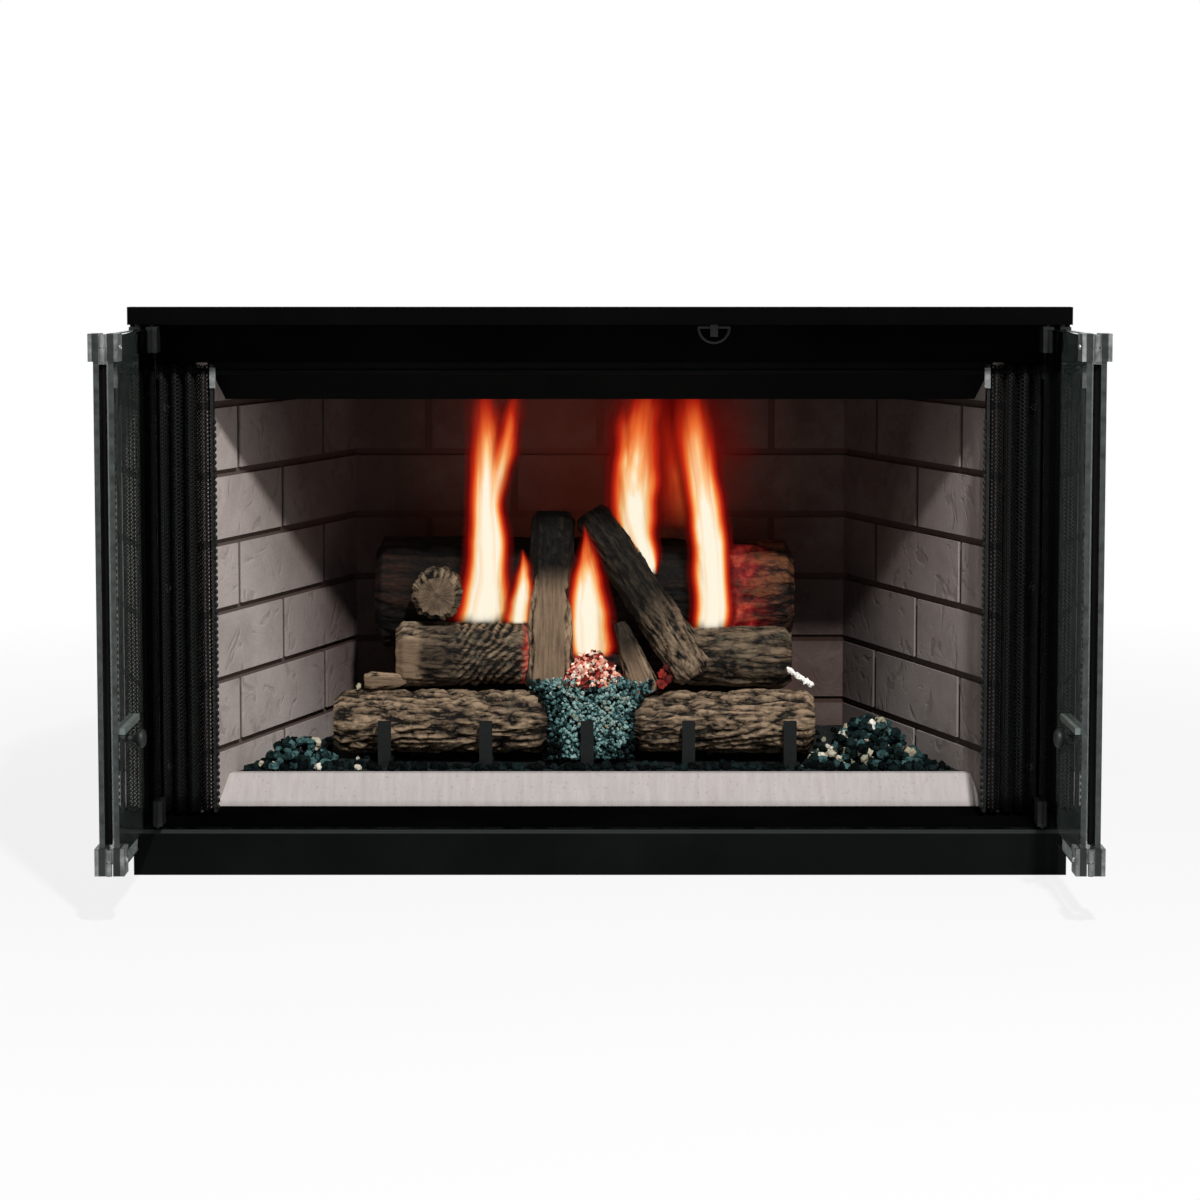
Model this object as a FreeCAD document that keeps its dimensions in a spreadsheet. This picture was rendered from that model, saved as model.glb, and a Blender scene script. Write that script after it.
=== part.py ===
# Wood-burning fireplace with a brick-lined firebox and bi-fold glass doors, in millimetres.
# X runs to the right, Y to the back and Z up. The origin is on the floor, in the middle of the body.
import FreeCAD
import Part
import Sketcher
import math
import os

SIZES = {
    # Body and sheet metal
    "frame_width": 956.0,
    "frame_height": 582.0,
    "body_depth": 493.0,
    "pan_sheet": 1.5,
    "face_sheet": 2.0,
    "casing_sheet": 1.2,
    "shell_sheet": 1.2,
    "air_gap": 16.0,
    "top_drop": 16.0,
    "sill_height": 47.0,
    "anchor_radius": 4.5,
    "anchor_inset": 35.0,
    "support_width": 30.0,
    "support_spacing": 170.0,
    "support_setback": 36.0,
    # Front
    "track_height": 18.0,
    "track_depth": 18.0,
    "track_setback": 6.0,
    "jamb_width": 17.0,
    "jamb_setback": 16.0,
    "lintel_setback": 68.0,
    "lintel_drop": 59.0,
    # Firebox
    "wall_setback": 83.0,
    "mouth_reveal": 40.0,
    "wall_splay": 133.0,
    "rear_gap": 26.6,
    "ceiling_drop": 56.0,
    "brick_thickness": 30.0,
    "back_overlap": 12.0,
    "course_start": 107.0,
    "course_height": 73.8,
    "brick_length": 202.0,
    "joint_start": 90.0,
    "mortar_width": 8.0,
    "mortar_depth": 4.0,
    "slab_thickness": 15.0,
    "fit_gap": 0.5,
    "lip_setback": 115.0,
    "lip_run": 25.0,
    "lip_rise": 30.5,
    "lip_crest": 10.0,
    "shield_top_setback": 98.6,
    "shield_run": 41.0,
    "shield_drop": 45.0,
    "shield_sheet": 2.5,
    "screw_radius": 4.0,
    "screw_height": 2.0,
    "screw_end_gap": 49.5,
    "screw_inset": 8.0,
    # Flue and damper
    "throat_sheet": 2.0,
    "throat_length": 530.0,
    "throat_width": 76.0,
    "damper_setback": 265.0,
    "damper_end_gap": 3.0,
    "damper_side_gap": 4.0,
    "damper_sheet": 3.0,
    "damper_tilt": 60.0,
    "shaft_radius": 4.0,
    "shaft_rise": 4.5,
    "running_gap": 0.05,
    "bearing_width": 10.0,
    "bearing_depth": 18.0,
    "rod_x": 118.0,
    "rod_radius": 3.0,
    "rod_rise": 20.5,
    "crank_offset": 6.0,
    "crank_sheet": 4.0,
    "crank_half_width": 6.0,
    "crank_length": 29.5,
    "crank_pin_radius": 2.5,
    "crank_pin_length": 12.0,
    "crank_slot_gap": 0.6,
    "notch_gap": 4.0,
    "guide_setback": 186.0,
    "guide_rise": 6.0,
    "head_width": 8.0,
    "head_depth": 7.0,
    "head_rise": 3.6,
    "head_gap": 2.5,
    "ring_rise": 7.0,
    "ring_radius": 16.0,
    "ring_wire": 1.8,
    "flue_radius": 101.6,
    "flue_rear_gap": 124.5,
    "collar_wall": 1.6,
    "collar_length": 32.0,
    "collar_stand": 4.0,
    "collar_flange": 18.0,
    "collar_gap": 0.3,
    # Fire screen
    "screen_setback": 67.0,
    "screen_rod_radius": 3.0,
    "screen_rod_drop": 68.0,
    "screen_gap": 5.0,
    "bunch_width": 51.5,
    "bunch_depth": 22.0,
    "mesh_band": 6.0,
    "mesh_eye_gap": 0.6,
    "header_rise": 7.0,
    "bar_gap": 0.5,
    "bar_eye_gap": 0.1,
    "screen_bar_width": 3.0,
    "screen_bar_depth": 12.0,
    "screen_tab_length": 21.0,
    "screen_tab_rise": 4.0,
    "screen_tab_width": 6.0,
    "bracket_width": 4.0,
    "bracket_depth": 16.0,
    # Doors
    "pivot_inset": 10.0,
    "meeting_inset": 10.0,
    "fold_offset": 7.0,
    "door_bottom_gap": 5.0,
    "door_top_gap": 2.0,
    "glass_thickness": 5.0,
    "glass_overhang": 6.0,
    "glass_fold_gap": 3.0,
    "clip_wall": 2.0,
    "clip_length": 22.0,
    "clip_height": 26.0,
    "clip_room_side": 7.0,
    "clip_fire_side": 3.6,
    "knuckle_radius": 2.9,
    "knuckle_gap": 1.0,
    "hinge_pin_radius": 1.25,
    "web_length": 4.0,
    "pin_radius": 2.5,
    "pin_reach": 1.0,
    "guide_gap": 0.6,
    "shoulder_radius": 4.5,
    "shoulder_gap": 0.3,
    "pull_start": 10.0,
    "pull_length": 80.0,
    "pull_height": 6.0,
    "pull_depth": 5.0,
    "pull_level": 138.0,
    "knob_radius": 9.0,
    "knob_length": 18.0,
    "knob_drop": 11.0,
    # Grate and fire
    "grate_inset_left": 185.0,
    "grate_inset_right": 213.0,
    "grate_setback": 102.0,
    "grate_rear_gap": 11.0,
    "grate_bar_width": 14.0,
    "grate_bar_height": 8.0,
    "finger_rise": 45.0,
    "rear_rise": 134.0,
    "rail_width": 14.0,
    "rail_height": 4.0,
    "rail_inset": 40.0,
    "foot_radius": 8.0,
    "foot_height": 6.0,
    "log_gap": 0.3,
    "ember_depth": 15.0,
    "ember_floor": 5.0,
    "pocket_gap": 12.0,
    "ember_gap": 2.0,
}

# Each log: the side of the mouth it is placed from, where its thick end lies (in from that side, or across
# from the middle, back from the grate's fingers, above the grate's bars), which way it points (yaw and pitch
# in degrees) and its end radii
LOGS = {
    "front_log_left": ("left", 127.0, 49.3, 37.3, 0.0, 0.0, 37.0, 36.0),
    "front_log_right": ("right", 184.0, 49.3, 37.3, 180.0, 0.0, 37.0, 35.0),
    "base_log": ("left", 216.0, 140.0, 52.3, 0.0, 0.0, 52.0, 50.0),
    "back_log": ("left", 166.0, 159.5, 168.0, 0.0, 0.0, 66.0, 62.0),
    "left_log": ("left", 193.0, 70.2, 109.2, 4.0, 0.0, 38.0, 36.0),
    "right_log": ("right", 207.0, 71.3, 105.7, 176.0, 0.0, 36.0, 34.0),
    "cross_log": ("left", 240.0, 49.5, 177.0, 90.0, 0.0, 30.0, 29.0),
    "upright_log": ("middle", -54.0, 62.0, 71.0, 90.0, 80.0, 27.0, 23.0),
    "leaning_log": ("middle", 108.0, 58.0, 87.0, 163.0, 55.0, 27.0, 23.0),
}
LOG_FIELDS = ("across", "back", "above", "yaw", "pitch", "thick", "thin")
# A log that lies between two places ends at the second one, and the rest have a length of their own
LOG_STOPS = {
    "front_log_left": ("middle", -58.0),
    "front_log_right": ("middle", 38.0),
    "base_log": ("right", 236.0),
    "back_log": ("right", 201.0),
    "left_log": ("middle", -78.0),
    "right_log": ("middle", 90.0),
}
LOG_LENGTHS = {
    "cross_log": 60.0,
    "upright_log": 198.0,
    "leaning_log": 218.0,
}
LOG_SEATS = {
    "left_log": ("front_log_left", "base_log", "back_log"),
    "right_log": ("front_log_right", "base_log", "back_log"),
    "back_log": ("base_log",),
    "cross_log": ("left_log", "back_log", "upright_log"),
    "upright_log": ("front_log_left", "base_log", "back_log", "left_log"),
    "leaning_log": ("front_log_right", "right_log", "base_log", "back_log", "upright_log"),
}

# Each ember heap: the side it is placed from, its middle (in from that side or across, and back from the
# fingers), what it lies on, its height and radii
HEAPS = {
    "left_heap": ("left", 90.0, 8.0, "bed", 26.0, 42.0, 12.0),
    "right_heap": ("right", 115.0, 26.0, "bed", 52.0, 60.0, 16.0),
    "middle_heap": ("middle", -14.0, 53.0, "bars", 60.0, 38.0, 22.0),
}
HEAP_FIELDS = ("across", "back", "height", "foot", "crown")


class Size:
    """A length or angle with its value and the spreadsheet formula that gives it."""

    def __init__(self, text, value):
        self.text = text
        self.value = value

    def __add__(self, other):
        return joined(self, "+", other, self.value + number(other))

    def __radd__(self, other):
        return sized(other) + self

    def __sub__(self, other):
        return joined(self, "-", other, self.value - number(other))

    def __rsub__(self, other):
        return sized(other) - self

    def __mul__(self, other):
        return joined(self, "*", other, self.value * number(other))

    def __rmul__(self, other):
        return sized(other) * self

    def __truediv__(self, other):
        return joined(self, "/", other, self.value / number(other))

    def __neg__(self):
        return sized(0) - self


def sized(item):
    if isinstance(item, Size):
        return item
    return Size("(%r)" % float(item), float(item))


def number(item):
    return sized(item).value


def joined(left, sign, right, value):
    return Size("(%s %s %s)" % (left.text, sign, sized(right).text), value)


def root(item):
    return Size("sqrt(%s)" % item.text, math.sqrt(item.value))


def slope_angle(item):
    return Size("atan(%s)" % item.text, math.degrees(math.atan(item.value)))


RIGHT_ANGLE = Size("(90 deg)", 90.0)


def tangent(item):
    return Size("tan(%s)" % item.text, math.tan(math.radians(item.value)))


for log_name, log_values in LOGS.items():
    for field, field_value in zip(LOG_FIELDS, log_values[1:]):
        SIZES["%s_%s" % (log_name, field)] = field_value
for log_name, (side, stop) in LOG_STOPS.items():
    SIZES[log_name + "_stop"] = stop
for log_name, length in LOG_LENGTHS.items():
    SIZES[log_name + "_length"] = length
for heap_name, (side, across, back, seat, height, foot, crown) in HEAPS.items():
    for field, field_value in zip(HEAP_FIELDS, (across, back, height, foot, crown)):
        SIZES["%s_%s" % (heap_name, field)] = field_value

doc = FreeCAD.newDocument("Fireplace")
sheet = doc.addObject("Spreadsheet::Sheet", "Dims")
dims = {}
for row, (name, value) in enumerate(SIZES.items(), 1):
    sheet.set("A%d" % row, name)
    sheet.set("B%d" % row, str(value))
    sheet.setAlias("B%d" % row, name)
    dims[name] = Size("Dims." + name, value)
doc.recompute()


# Shapes that every sub-part is made of

def bind(item, prop, amount):
    item.setExpression(prop, sized(amount).text)


def place(item, x, y, z):
    bind(item, "Placement.Base.x", x)
    bind(item, "Placement.Base.y", y)
    bind(item, "Placement.Base.z", z)
    return item


def turn(item, axis, angle):
    item.Placement = FreeCAD.Placement(FreeCAD.Vector(), FreeCAD.Rotation(FreeCAD.Vector(*axis), angle))
    return item


def box(name, x_span, y_span, z_span):
    item = doc.addObject("Part::Box", name)
    for prop, span in zip(("Length", "Width", "Height"), (x_span, y_span, z_span)):
        bind(item, prop, sized(span[1]) - span[0])
    return place(item, x_span[0], y_span[0], z_span[0])


AXIS_TURNS = {"X": ((0, 1, 0), 90), "Y": ((1, 0, 0), -90), "Z": ((0, 0, 1), 0)}


def rod(name, axis, radius, length, x, y, z):
    item = doc.addObject("Part::Cylinder", name)
    bind(item, "Radius", radius)
    bind(item, "Height", length)
    turn(item, *AXIS_TURNS[axis])
    return place(item, x, y, z)


def prism(name, plane, points, start, end):
    """A closed outline drawn on an origin plane and padded from start to end along its normal."""
    body = doc.addObject("PartDesign::Body", name)
    sketch = body.newObject("Sketcher::SketchObject", name + "_outline")
    planes = [item for item in body.Origin.OriginFeatures if item.Role == plane + "_Plane"]
    sketch.AttachmentSupport = [(planes[0], "")]
    sketch.MapMode = "FlatFace"
    bind(sketch, "AttachmentOffset.Base.z", start)
    corners = [FreeCAD.Vector(number(a), number(b), 0) for a, b in points]
    count = len(points)
    for i in range(count):
        sketch.addGeometry(Part.LineSegment(corners[i], corners[(i + 1) % count]))
    for i in range(count):
        sketch.addConstraint(Sketcher.Constraint("Coincident", i, 2, (i + 1) % count, 1))
    for i, corner in enumerate(points):
        for kind, amount in zip(("DistanceX", "DistanceY"), corner):
            rule = sketch.addConstraint(Sketcher.Constraint(kind, -1, 1, i, 1, number(amount)))
            bind(sketch, "Constraints[%d]" % rule, amount)
    pad = body.newObject("PartDesign::Pad", name + "_pad")
    pad.Profile = sketch
    bind(pad, "Length", sized(end) - start)
    return body


def group(name, items):
    item = doc.addObject("Part::Compound", name)
    item.Links = items
    return item


def fuse(name, items):
    item = doc.addObject("Part::MultiFuse", name)
    item.Shapes = items
    return item


def cut(name, base, tools):
    item = doc.addObject("Part::Cut", name)
    item.Base = base
    item.Tool = tools[0] if len(tools) == 1 else group(name + "_tools", tools)
    return item


def common(name, items):
    item = doc.addObject("Part::MultiCommon", name)
    item.Shapes = items
    return item


def mirror(name, source):
    item = doc.addObject("Part::Mirroring", name)
    item.Source = source
    item.Normal = FreeCAD.Vector(1, 0, 0)
    return item


def both_sides(points):
    """An outline given on the right-hand side, from front to back, closed by its mirror image."""
    return list(points) + [(-x, y) for x, y in reversed(points)]


# Places shared by the sub-parts

front = -dims["body_depth"] / 2
rear = dims["body_depth"] / 2
half_frame = dims["frame_width"] / 2
track_y = front + dims["track_setback"]
track_back = front + dims["track_depth"]
jamb_x = half_frame - dims["jamb_width"]
jamb_y = front + dims["jamb_setback"]
lintel_y = front + dims["lintel_setback"]
lintel_back = lintel_y + dims["face_sheet"]
wall_front = front + dims["wall_setback"]
casing_inner_rear = rear - dims["casing_sheet"]
shell_back = casing_inner_rear - dims["rear_gap"]
brick_back = shell_back - dims["shell_sheet"]
wall_back = brick_back - dims["brick_thickness"]
firebox_depth = wall_back - wall_front
flue_y = rear - dims["flue_rear_gap"]

sill = dims["sill_height"]
plate_bottom = sill - dims["face_sheet"]
hearth = sill + dims["slab_thickness"]
ceiling = dims["frame_height"] - dims["ceiling_drop"]
throat_top = ceiling + dims["throat_sheet"]
casing_top_z = dims["frame_height"] - dims["top_drop"]
casing_under = casing_top_z - dims["casing_sheet"]
track_z = dims["frame_height"] - dims["track_height"]

mouth_half = jamb_x - dims["mouth_reveal"]
back_half = mouth_half - dims["wall_splay"]
wall_slope = dims["wall_splay"] / firebox_depth
wall_secant = root(wall_slope * wall_slope + 1)
wall_angle = slope_angle(wall_slope)
shell_offset = dims["brick_thickness"] + dims["shell_sheet"]
casing_in = shell_offset + dims["air_gap"]
casing_out = casing_in + dims["casing_sheet"]


def wall_x(y, offset):
    """Half width across the firebox at depth y, a distance offset out from the brick's face."""
    return mouth_half - wall_slope * (sized(y) - wall_front) + wall_secant * offset


def splayed_plan(y_start, y_end, offset):
    return both_sides([(wall_x(y_start, offset), y_start), (wall_x(y_end, offset), y_end)])


casing_x = wall_x(wall_front, casing_out)
casing_inner_x = wall_x(wall_front, casing_in)

pivot_x = half_frame - dims["pivot_inset"]
panel = (pivot_x - dims["meeting_inset"]) / 2
fold = dims["fold_offset"]
guide_open_x = pivot_x - fold * 2
guide_closed_x = pivot_x - panel * 2


# Base, casing and firebox shell

SUPPORTS = 4


def make_base_pan():
    pan_front = front + dims["face_sheet"]
    plan = [(casing_x, pan_front), (casing_x, wall_front), (wall_x(rear, casing_out), rear)]
    sheet_body = prism("base_pan_sheet", "XY", both_sides(plan), 0, dims["pan_sheet"])
    inset = dims["anchor_inset"]
    holes = []
    for side in (-1, 1):
        spots = ((casing_x - inset, pan_front + inset), (wall_x(rear, casing_out) - inset, rear - inset))
        for x, y in spots:
            name = "anchor_hole_%d" % len(holes)
            name = name + ("_left" if side < 0 else "_right")
            holes.append(rod(name, "Z", dims["anchor_radius"], dims["pan_sheet"], x * side, y, 0))
    return cut("base_pan", sheet_body, holes)


def make_hearth_supports():
    tubes = []
    wall = dims["pan_sheet"]
    half = dims["support_width"] / 2
    y_span = (front + dims["support_setback"], wall_back)
    for i in range(SUPPORTS):
        middle = dims["support_spacing"] * (i - (SUPPORTS - 1) / 2)
        outer = box("support_outer_%d" % i, (middle - half, middle + half), y_span, (wall, plate_bottom))
        inner = box("support_inner_%d" % i, (middle - half + wall, middle + half - wall), y_span,
                    (wall * 2, plate_bottom - wall))
        tubes.append(cut("support_%d" % i, outer, [inner]))
    return group("hearth_supports", tubes)


def track_cutters(tag, z_start, z_end):
    """Pivot holes and guide slots of both doors, through a sheet of the track."""
    cutters = []
    length = sized(z_end) - z_start
    slot_radius = dims["pin_radius"] + dims["guide_gap"]
    hole_radius = dims["pin_radius"] + dims["running_gap"]
    for side, word in ((-1, "left"), (1, "right")):
        name = "%s_pivot_%s" % (tag, word)
        cutters.append(rod(name, "Z", hole_radius, length, pivot_x * side, track_y, z_start))
        ends = (guide_closed_x * side, guide_open_x * side)
        for end, where in zip(ends, ("closed", "open")):
            name = "%s_%s_%s" % (tag, where, word)
            cutters.append(rod(name, "Z", slot_radius, length, end, track_y, z_start))
        span = ends if side > 0 else (ends[1], ends[0])
        cutters.append(box("%s_slot_%s" % (tag, word), span, (track_y - slot_radius, track_y + slot_radius),
                           (z_start, z_end)))
    return cutters


def make_hearth_plate():
    plan = [(half_frame, front), (half_frame, track_back), (casing_inner_x, track_back),
            (casing_inner_x, wall_front), (wall_x(shell_back, casing_in), shell_back)]
    plate = prism("hearth_plate_sheet", "XY", both_sides(plan), plate_bottom, sill)
    return cut("hearth_plate", plate, track_cutters("sill", plate_bottom, sill))


def make_kick_panel():
    y_span = (front, front + dims["face_sheet"])
    return box("kick_panel", (-half_frame, half_frame), y_span, (0, plate_bottom))


def make_casing_wrap():
    outer = [(casing_x, track_back), (casing_x, wall_front), (wall_x(rear, casing_out), rear)]
    inner = [(casing_inner_x, track_back), (casing_inner_x, wall_front),
             (wall_x(casing_inner_rear, casing_in), casing_inner_rear)]
    plan = outer + [(-x, y) for x, y in reversed(outer)] + [(-x, y) for x, y in inner] + inner[::-1]
    return prism("casing_wrap", "XY", plan, dims["pan_sheet"], casing_under)


def make_casing_top():
    plan = [(casing_x, track_back), (casing_x, wall_front), (wall_x(rear, casing_out), rear)]
    plate = prism("casing_top_sheet", "XY", both_sides(plan), casing_under, casing_top_z)
    hole = rod("casing_top_hole", "Z", dims["flue_radius"] + dims["collar_wall"] + dims["collar_gap"],
               dims["casing_sheet"], 0, flue_y, casing_under)
    return cut("casing_top", plate, [hole])


def make_flue_collar():
    top = casing_top_z + dims["collar_stand"]
    outer_radius = dims["flue_radius"] + dims["collar_wall"]
    length = dims["collar_length"]
    low = top - length
    sleeve = rod("collar_sleeve", "Z", outer_radius, length, 0, flue_y, low)
    flange = rod("collar_flange_disc", "Z", outer_radius + dims["collar_flange"], dims["collar_wall"],
                 0, flue_y, casing_top_z)
    bore = rod("collar_bore", "Z", dims["flue_radius"], length, 0, flue_y, low)
    return cut("flue_collar", fuse("collar_solid", [sleeve, flange]), [bore])


def make_firebox_shell():
    outer = [(wall_x(wall_front, shell_offset), wall_front), (wall_x(shell_back, shell_offset), shell_back)]
    inner = [(wall_x(wall_front, dims["brick_thickness"]), wall_front),
             (wall_x(brick_back, dims["brick_thickness"]), brick_back)]
    plan = outer + [(-x, y) for x, y in reversed(outer)] + [(-x, y) for x, y in inner] + inner[::-1]
    return prism("firebox_shell", "XY", plan, sill, ceiling)


# Refractory lining

def course_levels():
    """Heights of the mortar lines between the sill and the ceiling."""
    count = int((ceiling.value - number(dims["course_start"])) / number(dims["course_height"])) + 1
    return [dims["course_start"] + dims["course_height"] * i for i in range(count)]


def mortar_grooves(tag, length, first_joints):
    """Mortar lines on a wall, drawn along X from 0 to length with the brick's face at Y = 0."""
    half = dims["mortar_width"] / 2
    depth = (0, dims["mortar_depth"])
    levels = course_levels()
    grooves = []
    for i, level in enumerate(levels):
        grooves.append(box("%s_bed_%d" % (tag, i), (0, length), depth, (level - half, level + half)))
    bounds = [sill] + levels + [ceiling]
    for course in range(len(bounds) - 1):
        first = sized(first_joints[course % 2])
        joints = int((length.value - first.value - half.value) / number(dims["brick_length"])) + 1
        for i in range(joints):
            middle = first + dims["brick_length"] * i
            name = "%s_joint_%d_%d" % (tag, course, i)
            course_span = (bounds[course], bounds[course + 1])
            grooves.append(box(name, (middle - half, middle + half), depth, course_span))
    return fuse(tag + "_grooves", grooves)


def make_refractory_side():
    inner = [(-wall_x(wall_front, 0), wall_front), (-wall_x(wall_back, 0), wall_back)]
    thickness = dims["brick_thickness"]
    outer = [(-wall_x(wall_back, thickness), wall_back), (-wall_x(wall_front, thickness), wall_front)]
    panel_body = prism("refractory_left_panel", "XY", inner + outer, sill, ceiling)
    length = firebox_depth * wall_secant
    joint = dims["joint_start"]
    grooves = mortar_grooves("left_wall", length, (joint + dims["brick_length"] / 2, joint))
    # The drawing's X runs back along the wall, and its Y runs out into the brick
    turn(grooves, (0, 0, 1), 90)
    bind(grooves, "Placement.Rotation.Angle", RIGHT_ANGLE - wall_angle)
    place(grooves, -wall_x(wall_front, 0), wall_front, 0)
    return cut("refractory_left", panel_body, [grooves])


def make_refractory_back():
    half = back_half + dims["back_overlap"]
    panel_box = box("refractory_back_panel", (-half, half), (wall_back, brick_back), (sill, ceiling))
    middle = half - dims["brick_length"]
    grooves = mortar_grooves("back_wall", half * 2, (middle - dims["brick_length"] / 2, middle))
    place(grooves, -half, wall_back, 0)
    return cut("refractory_back", panel_box, [grooves])


def make_hearth_slab():
    start = front + dims["lip_setback"] + dims["lip_run"] + dims["lip_crest"]
    plan = splayed_plan(start, wall_back - dims["fit_gap"], -dims["fit_gap"])
    return prism("hearth_slab", "XY", plan, sill, hearth)


def make_hearth_lip():
    start = front + dims["lip_setback"]
    crest = start + dims["lip_run"]
    end = crest + dims["lip_crest"]
    top = sill + dims["lip_rise"]
    section = [(start, sill), (crest, top), (end, top), (end, sill)]
    bar = prism("hearth_lip_bar", "YZ", section, -mouth_half, mouth_half)
    trim = prism("hearth_lip_trim", "XY", splayed_plan(start, end, -dims["fit_gap"]), sill, top)
    return common("hearth_lip", [bar, trim])


def make_smoke_shield():
    start = front + dims["shield_top_setback"]
    end = start + dims["shield_run"]
    low = ceiling - dims["shield_drop"]
    sheet_y = dims["shield_sheet"]
    section = [(start, ceiling), (start + sheet_y, ceiling), (end + sheet_y, low), (end, low)]
    bar = prism("smoke_shield_bar", "YZ", section, -mouth_half, mouth_half)
    plan = splayed_plan(start, end + sheet_y, -dims["fit_gap"])
    trim = prism("smoke_shield_trim", "XY", plan, low, ceiling)
    return common("smoke_shield", [bar, trim])


def make_retainers():
    strips = []
    face = wall_front - dims["face_sheet"]
    inner = wall_x(wall_front, dims["fit_gap"])
    spans = ((-jamb_x - dims["face_sheet"], -inner), (inner, jamb_x + dims["face_sheet"]))
    for i, span in enumerate(spans):
        strips.append(box("retainer_%d" % i, span, (face, wall_front), (sill, ceiling)))
    return group("refractory_retainers", strips)


def make_retainer_screws():
    screws = []
    head = dims["screw_height"]
    seat = wall_front - dims["face_sheet"] - head
    middle = (sill + ceiling) / 2
    pitch = (ceiling - sill) / 2 - dims["screw_end_gap"]
    for side in (-1, 1):
        for i in (-1, 0, 1):
            name = "screw_%d_%s" % (i + 1, "left" if side < 0 else "right")
            x = (jamb_x - dims["screw_inset"]) * side
            z = middle + pitch * i
            screws.append(rod(name, "Y", dims["screw_radius"], head, x, seat, z))
    return group("retainer_screws", screws)


# Front of the fireplace

def make_top_track():
    skin = dims["face_sheet"]
    top = dims["frame_height"]
    section = [(front, track_z), (track_back, track_z), (track_back, track_z + skin),
               (front + skin, track_z + skin), (front + skin, top - skin), (track_back, top - skin),
               (track_back, top), (front, top)]
    channel = prism("top_track_channel", "YZ", section, -half_frame, half_frame)
    return cut("top_track", channel, track_cutters("top", track_z, track_z + skin))


def make_jamb():
    skin = dims["face_sheet"]
    web_end = wall_front - skin
    plan = [(-half_frame, jamb_y), (-jamb_x, jamb_y), (-jamb_x, web_end), (-jamb_x - skin, web_end),
            (-jamb_x - skin, jamb_y + skin), (-half_frame, jamb_y + skin)]
    return prism("jamb_left", "XY", plan, sill, track_z)


def make_lintel():
    low = dims["frame_height"] - dims["lintel_drop"]
    panel_box = box("lintel_sheet", (-jamb_x, jamb_x), (lintel_y, lintel_back), (low, casing_under))
    hole = rod("lintel_rod_hole", "Y", dims["rod_radius"] + dims["running_gap"], dims["face_sheet"],
               dims["rod_x"], lintel_y, damper_rod_z)
    return cut("lintel_panel", panel_box, [hole])


# Throat and damper

damper_y = front + dims["damper_setback"]
shaft_z = throat_top + dims["shaft_rise"]
damper_rod_z = shaft_z + dims["rod_rise"]
crank_tilt = dims["damper_tilt"] / 2
crank_pin_y = damper_y + dims["rod_rise"] * tangent(crank_tilt)
crank_x = dims["rod_x"] + dims["crank_offset"]


def make_throat_plate():
    plan = [(jamb_x, lintel_back), (jamb_x, wall_front), (casing_inner_x, wall_front),
            (wall_x(casing_inner_rear, casing_in), casing_inner_rear)]
    plate = prism("throat_plate_sheet", "XY", both_sides(plan), ceiling, throat_top)
    half_length = dims["throat_length"] / 2
    half_width = dims["throat_width"] / 2
    mouth = box("throat_mouth", (-half_length, half_length), (damper_y - half_width, damper_y + half_width),
                (ceiling, throat_top))
    return cut("throat_plate", plate, [mouth])


def bearing_x():
    return dims["throat_length"] / 2 + dims["bearing_width"]


def make_damper_shaft():
    half = bearing_x() + dims["bearing_width"]
    shaft = rod("shaft_bar", "X", dims["shaft_radius"], half * 2, -half, damper_y, shaft_z)
    arm_half = dims["crank_half_width"]
    slot_half = dims["crank_pin_radius"] + dims["crank_slot_gap"]
    x_span = (0, dims["crank_sheet"])
    arm = box("crank_arm", x_span, (-arm_half, arm_half), (0, dims["crank_length"]))
    slot_start = dims["rod_rise"] - slot_half
    slot_end = dims["crank_length"] - dims["crank_pin_radius"]
    slot = box("crank_slot", x_span, (-slot_half, slot_half), (slot_start, slot_end))
    crank = cut("crank", arm, [slot])
    turn(crank, (1, 0, 0), -1)
    bind(crank, "Placement.Rotation.Angle", -crank_tilt)
    place(crank, crank_x, damper_y, shaft_z)
    return fuse("damper_shaft", [shaft, crank])


def make_damper_plate(shaft):
    half_length = dims["throat_length"] / 2 - dims["damper_end_gap"]
    half_width = dims["throat_width"] / 2 - dims["damper_side_gap"]
    half_sheet = dims["damper_sheet"] / 2
    blade_box = box("damper_sheet_box", (-half_length, half_length), (-half_width, half_width),
                    (-half_sheet, half_sheet))
    # The blade's upper half stands across the pull rod when it is open, so it has a notch there
    notch_start = dims["rod_x"] - dims["rod_radius"] - dims["notch_gap"]
    notch_end = dims["rod_x"] + dims["crank_pin_length"] + dims["notch_gap"]
    notch = box("damper_notch", (notch_start, notch_end), (-half_width, 0), (-half_sheet, half_sheet))
    blade = cut("damper_blade", blade_box, [notch])
    turn(blade, (1, 0, 0), -1)
    bind(blade, "Placement.Rotation.Angle", -dims["damper_tilt"])
    place(blade, 0, damper_y, shaft_z)
    return cut("damper_plate", blade, [shaft])


def make_damper_bearings():
    blocks = []
    half_depth = dims["bearing_depth"] / 2
    half_width = dims["bearing_width"] / 2
    y_span = (damper_y - half_depth, damper_y + half_depth)
    top = shaft_z + half_depth
    bore_radius = dims["shaft_radius"] + dims["running_gap"]
    for side, word in ((-1, "left"), (1, "right")):
        middle = bearing_x() * side
        x_span = (middle - half_width, middle + half_width)
        block = box("bearing_block_" + word, x_span, y_span, (throat_top, top))
        bore = rod("bearing_bore_" + word, "X", bore_radius, dims["bearing_width"],
                   x_span[0], damper_y, shaft_z)
        blocks.append(cut("bearing_" + word, block, [bore]))
    guide_y = front + dims["guide_setback"]
    x_span = (dims["rod_x"] - half_depth, dims["rod_x"] + half_depth)
    block = box("rod_guide_block", x_span, (guide_y, guide_y + dims["bearing_width"]),
                (throat_top, damper_rod_z + dims["guide_rise"]))
    bore = rod("rod_guide_bore", "Y", dims["rod_radius"] + dims["running_gap"], dims["bearing_width"],
               dims["rod_x"], guide_y, damper_rod_z)
    blocks.append(cut("rod_guide", block, [bore]))
    return group("damper_bearings", blocks)


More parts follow.
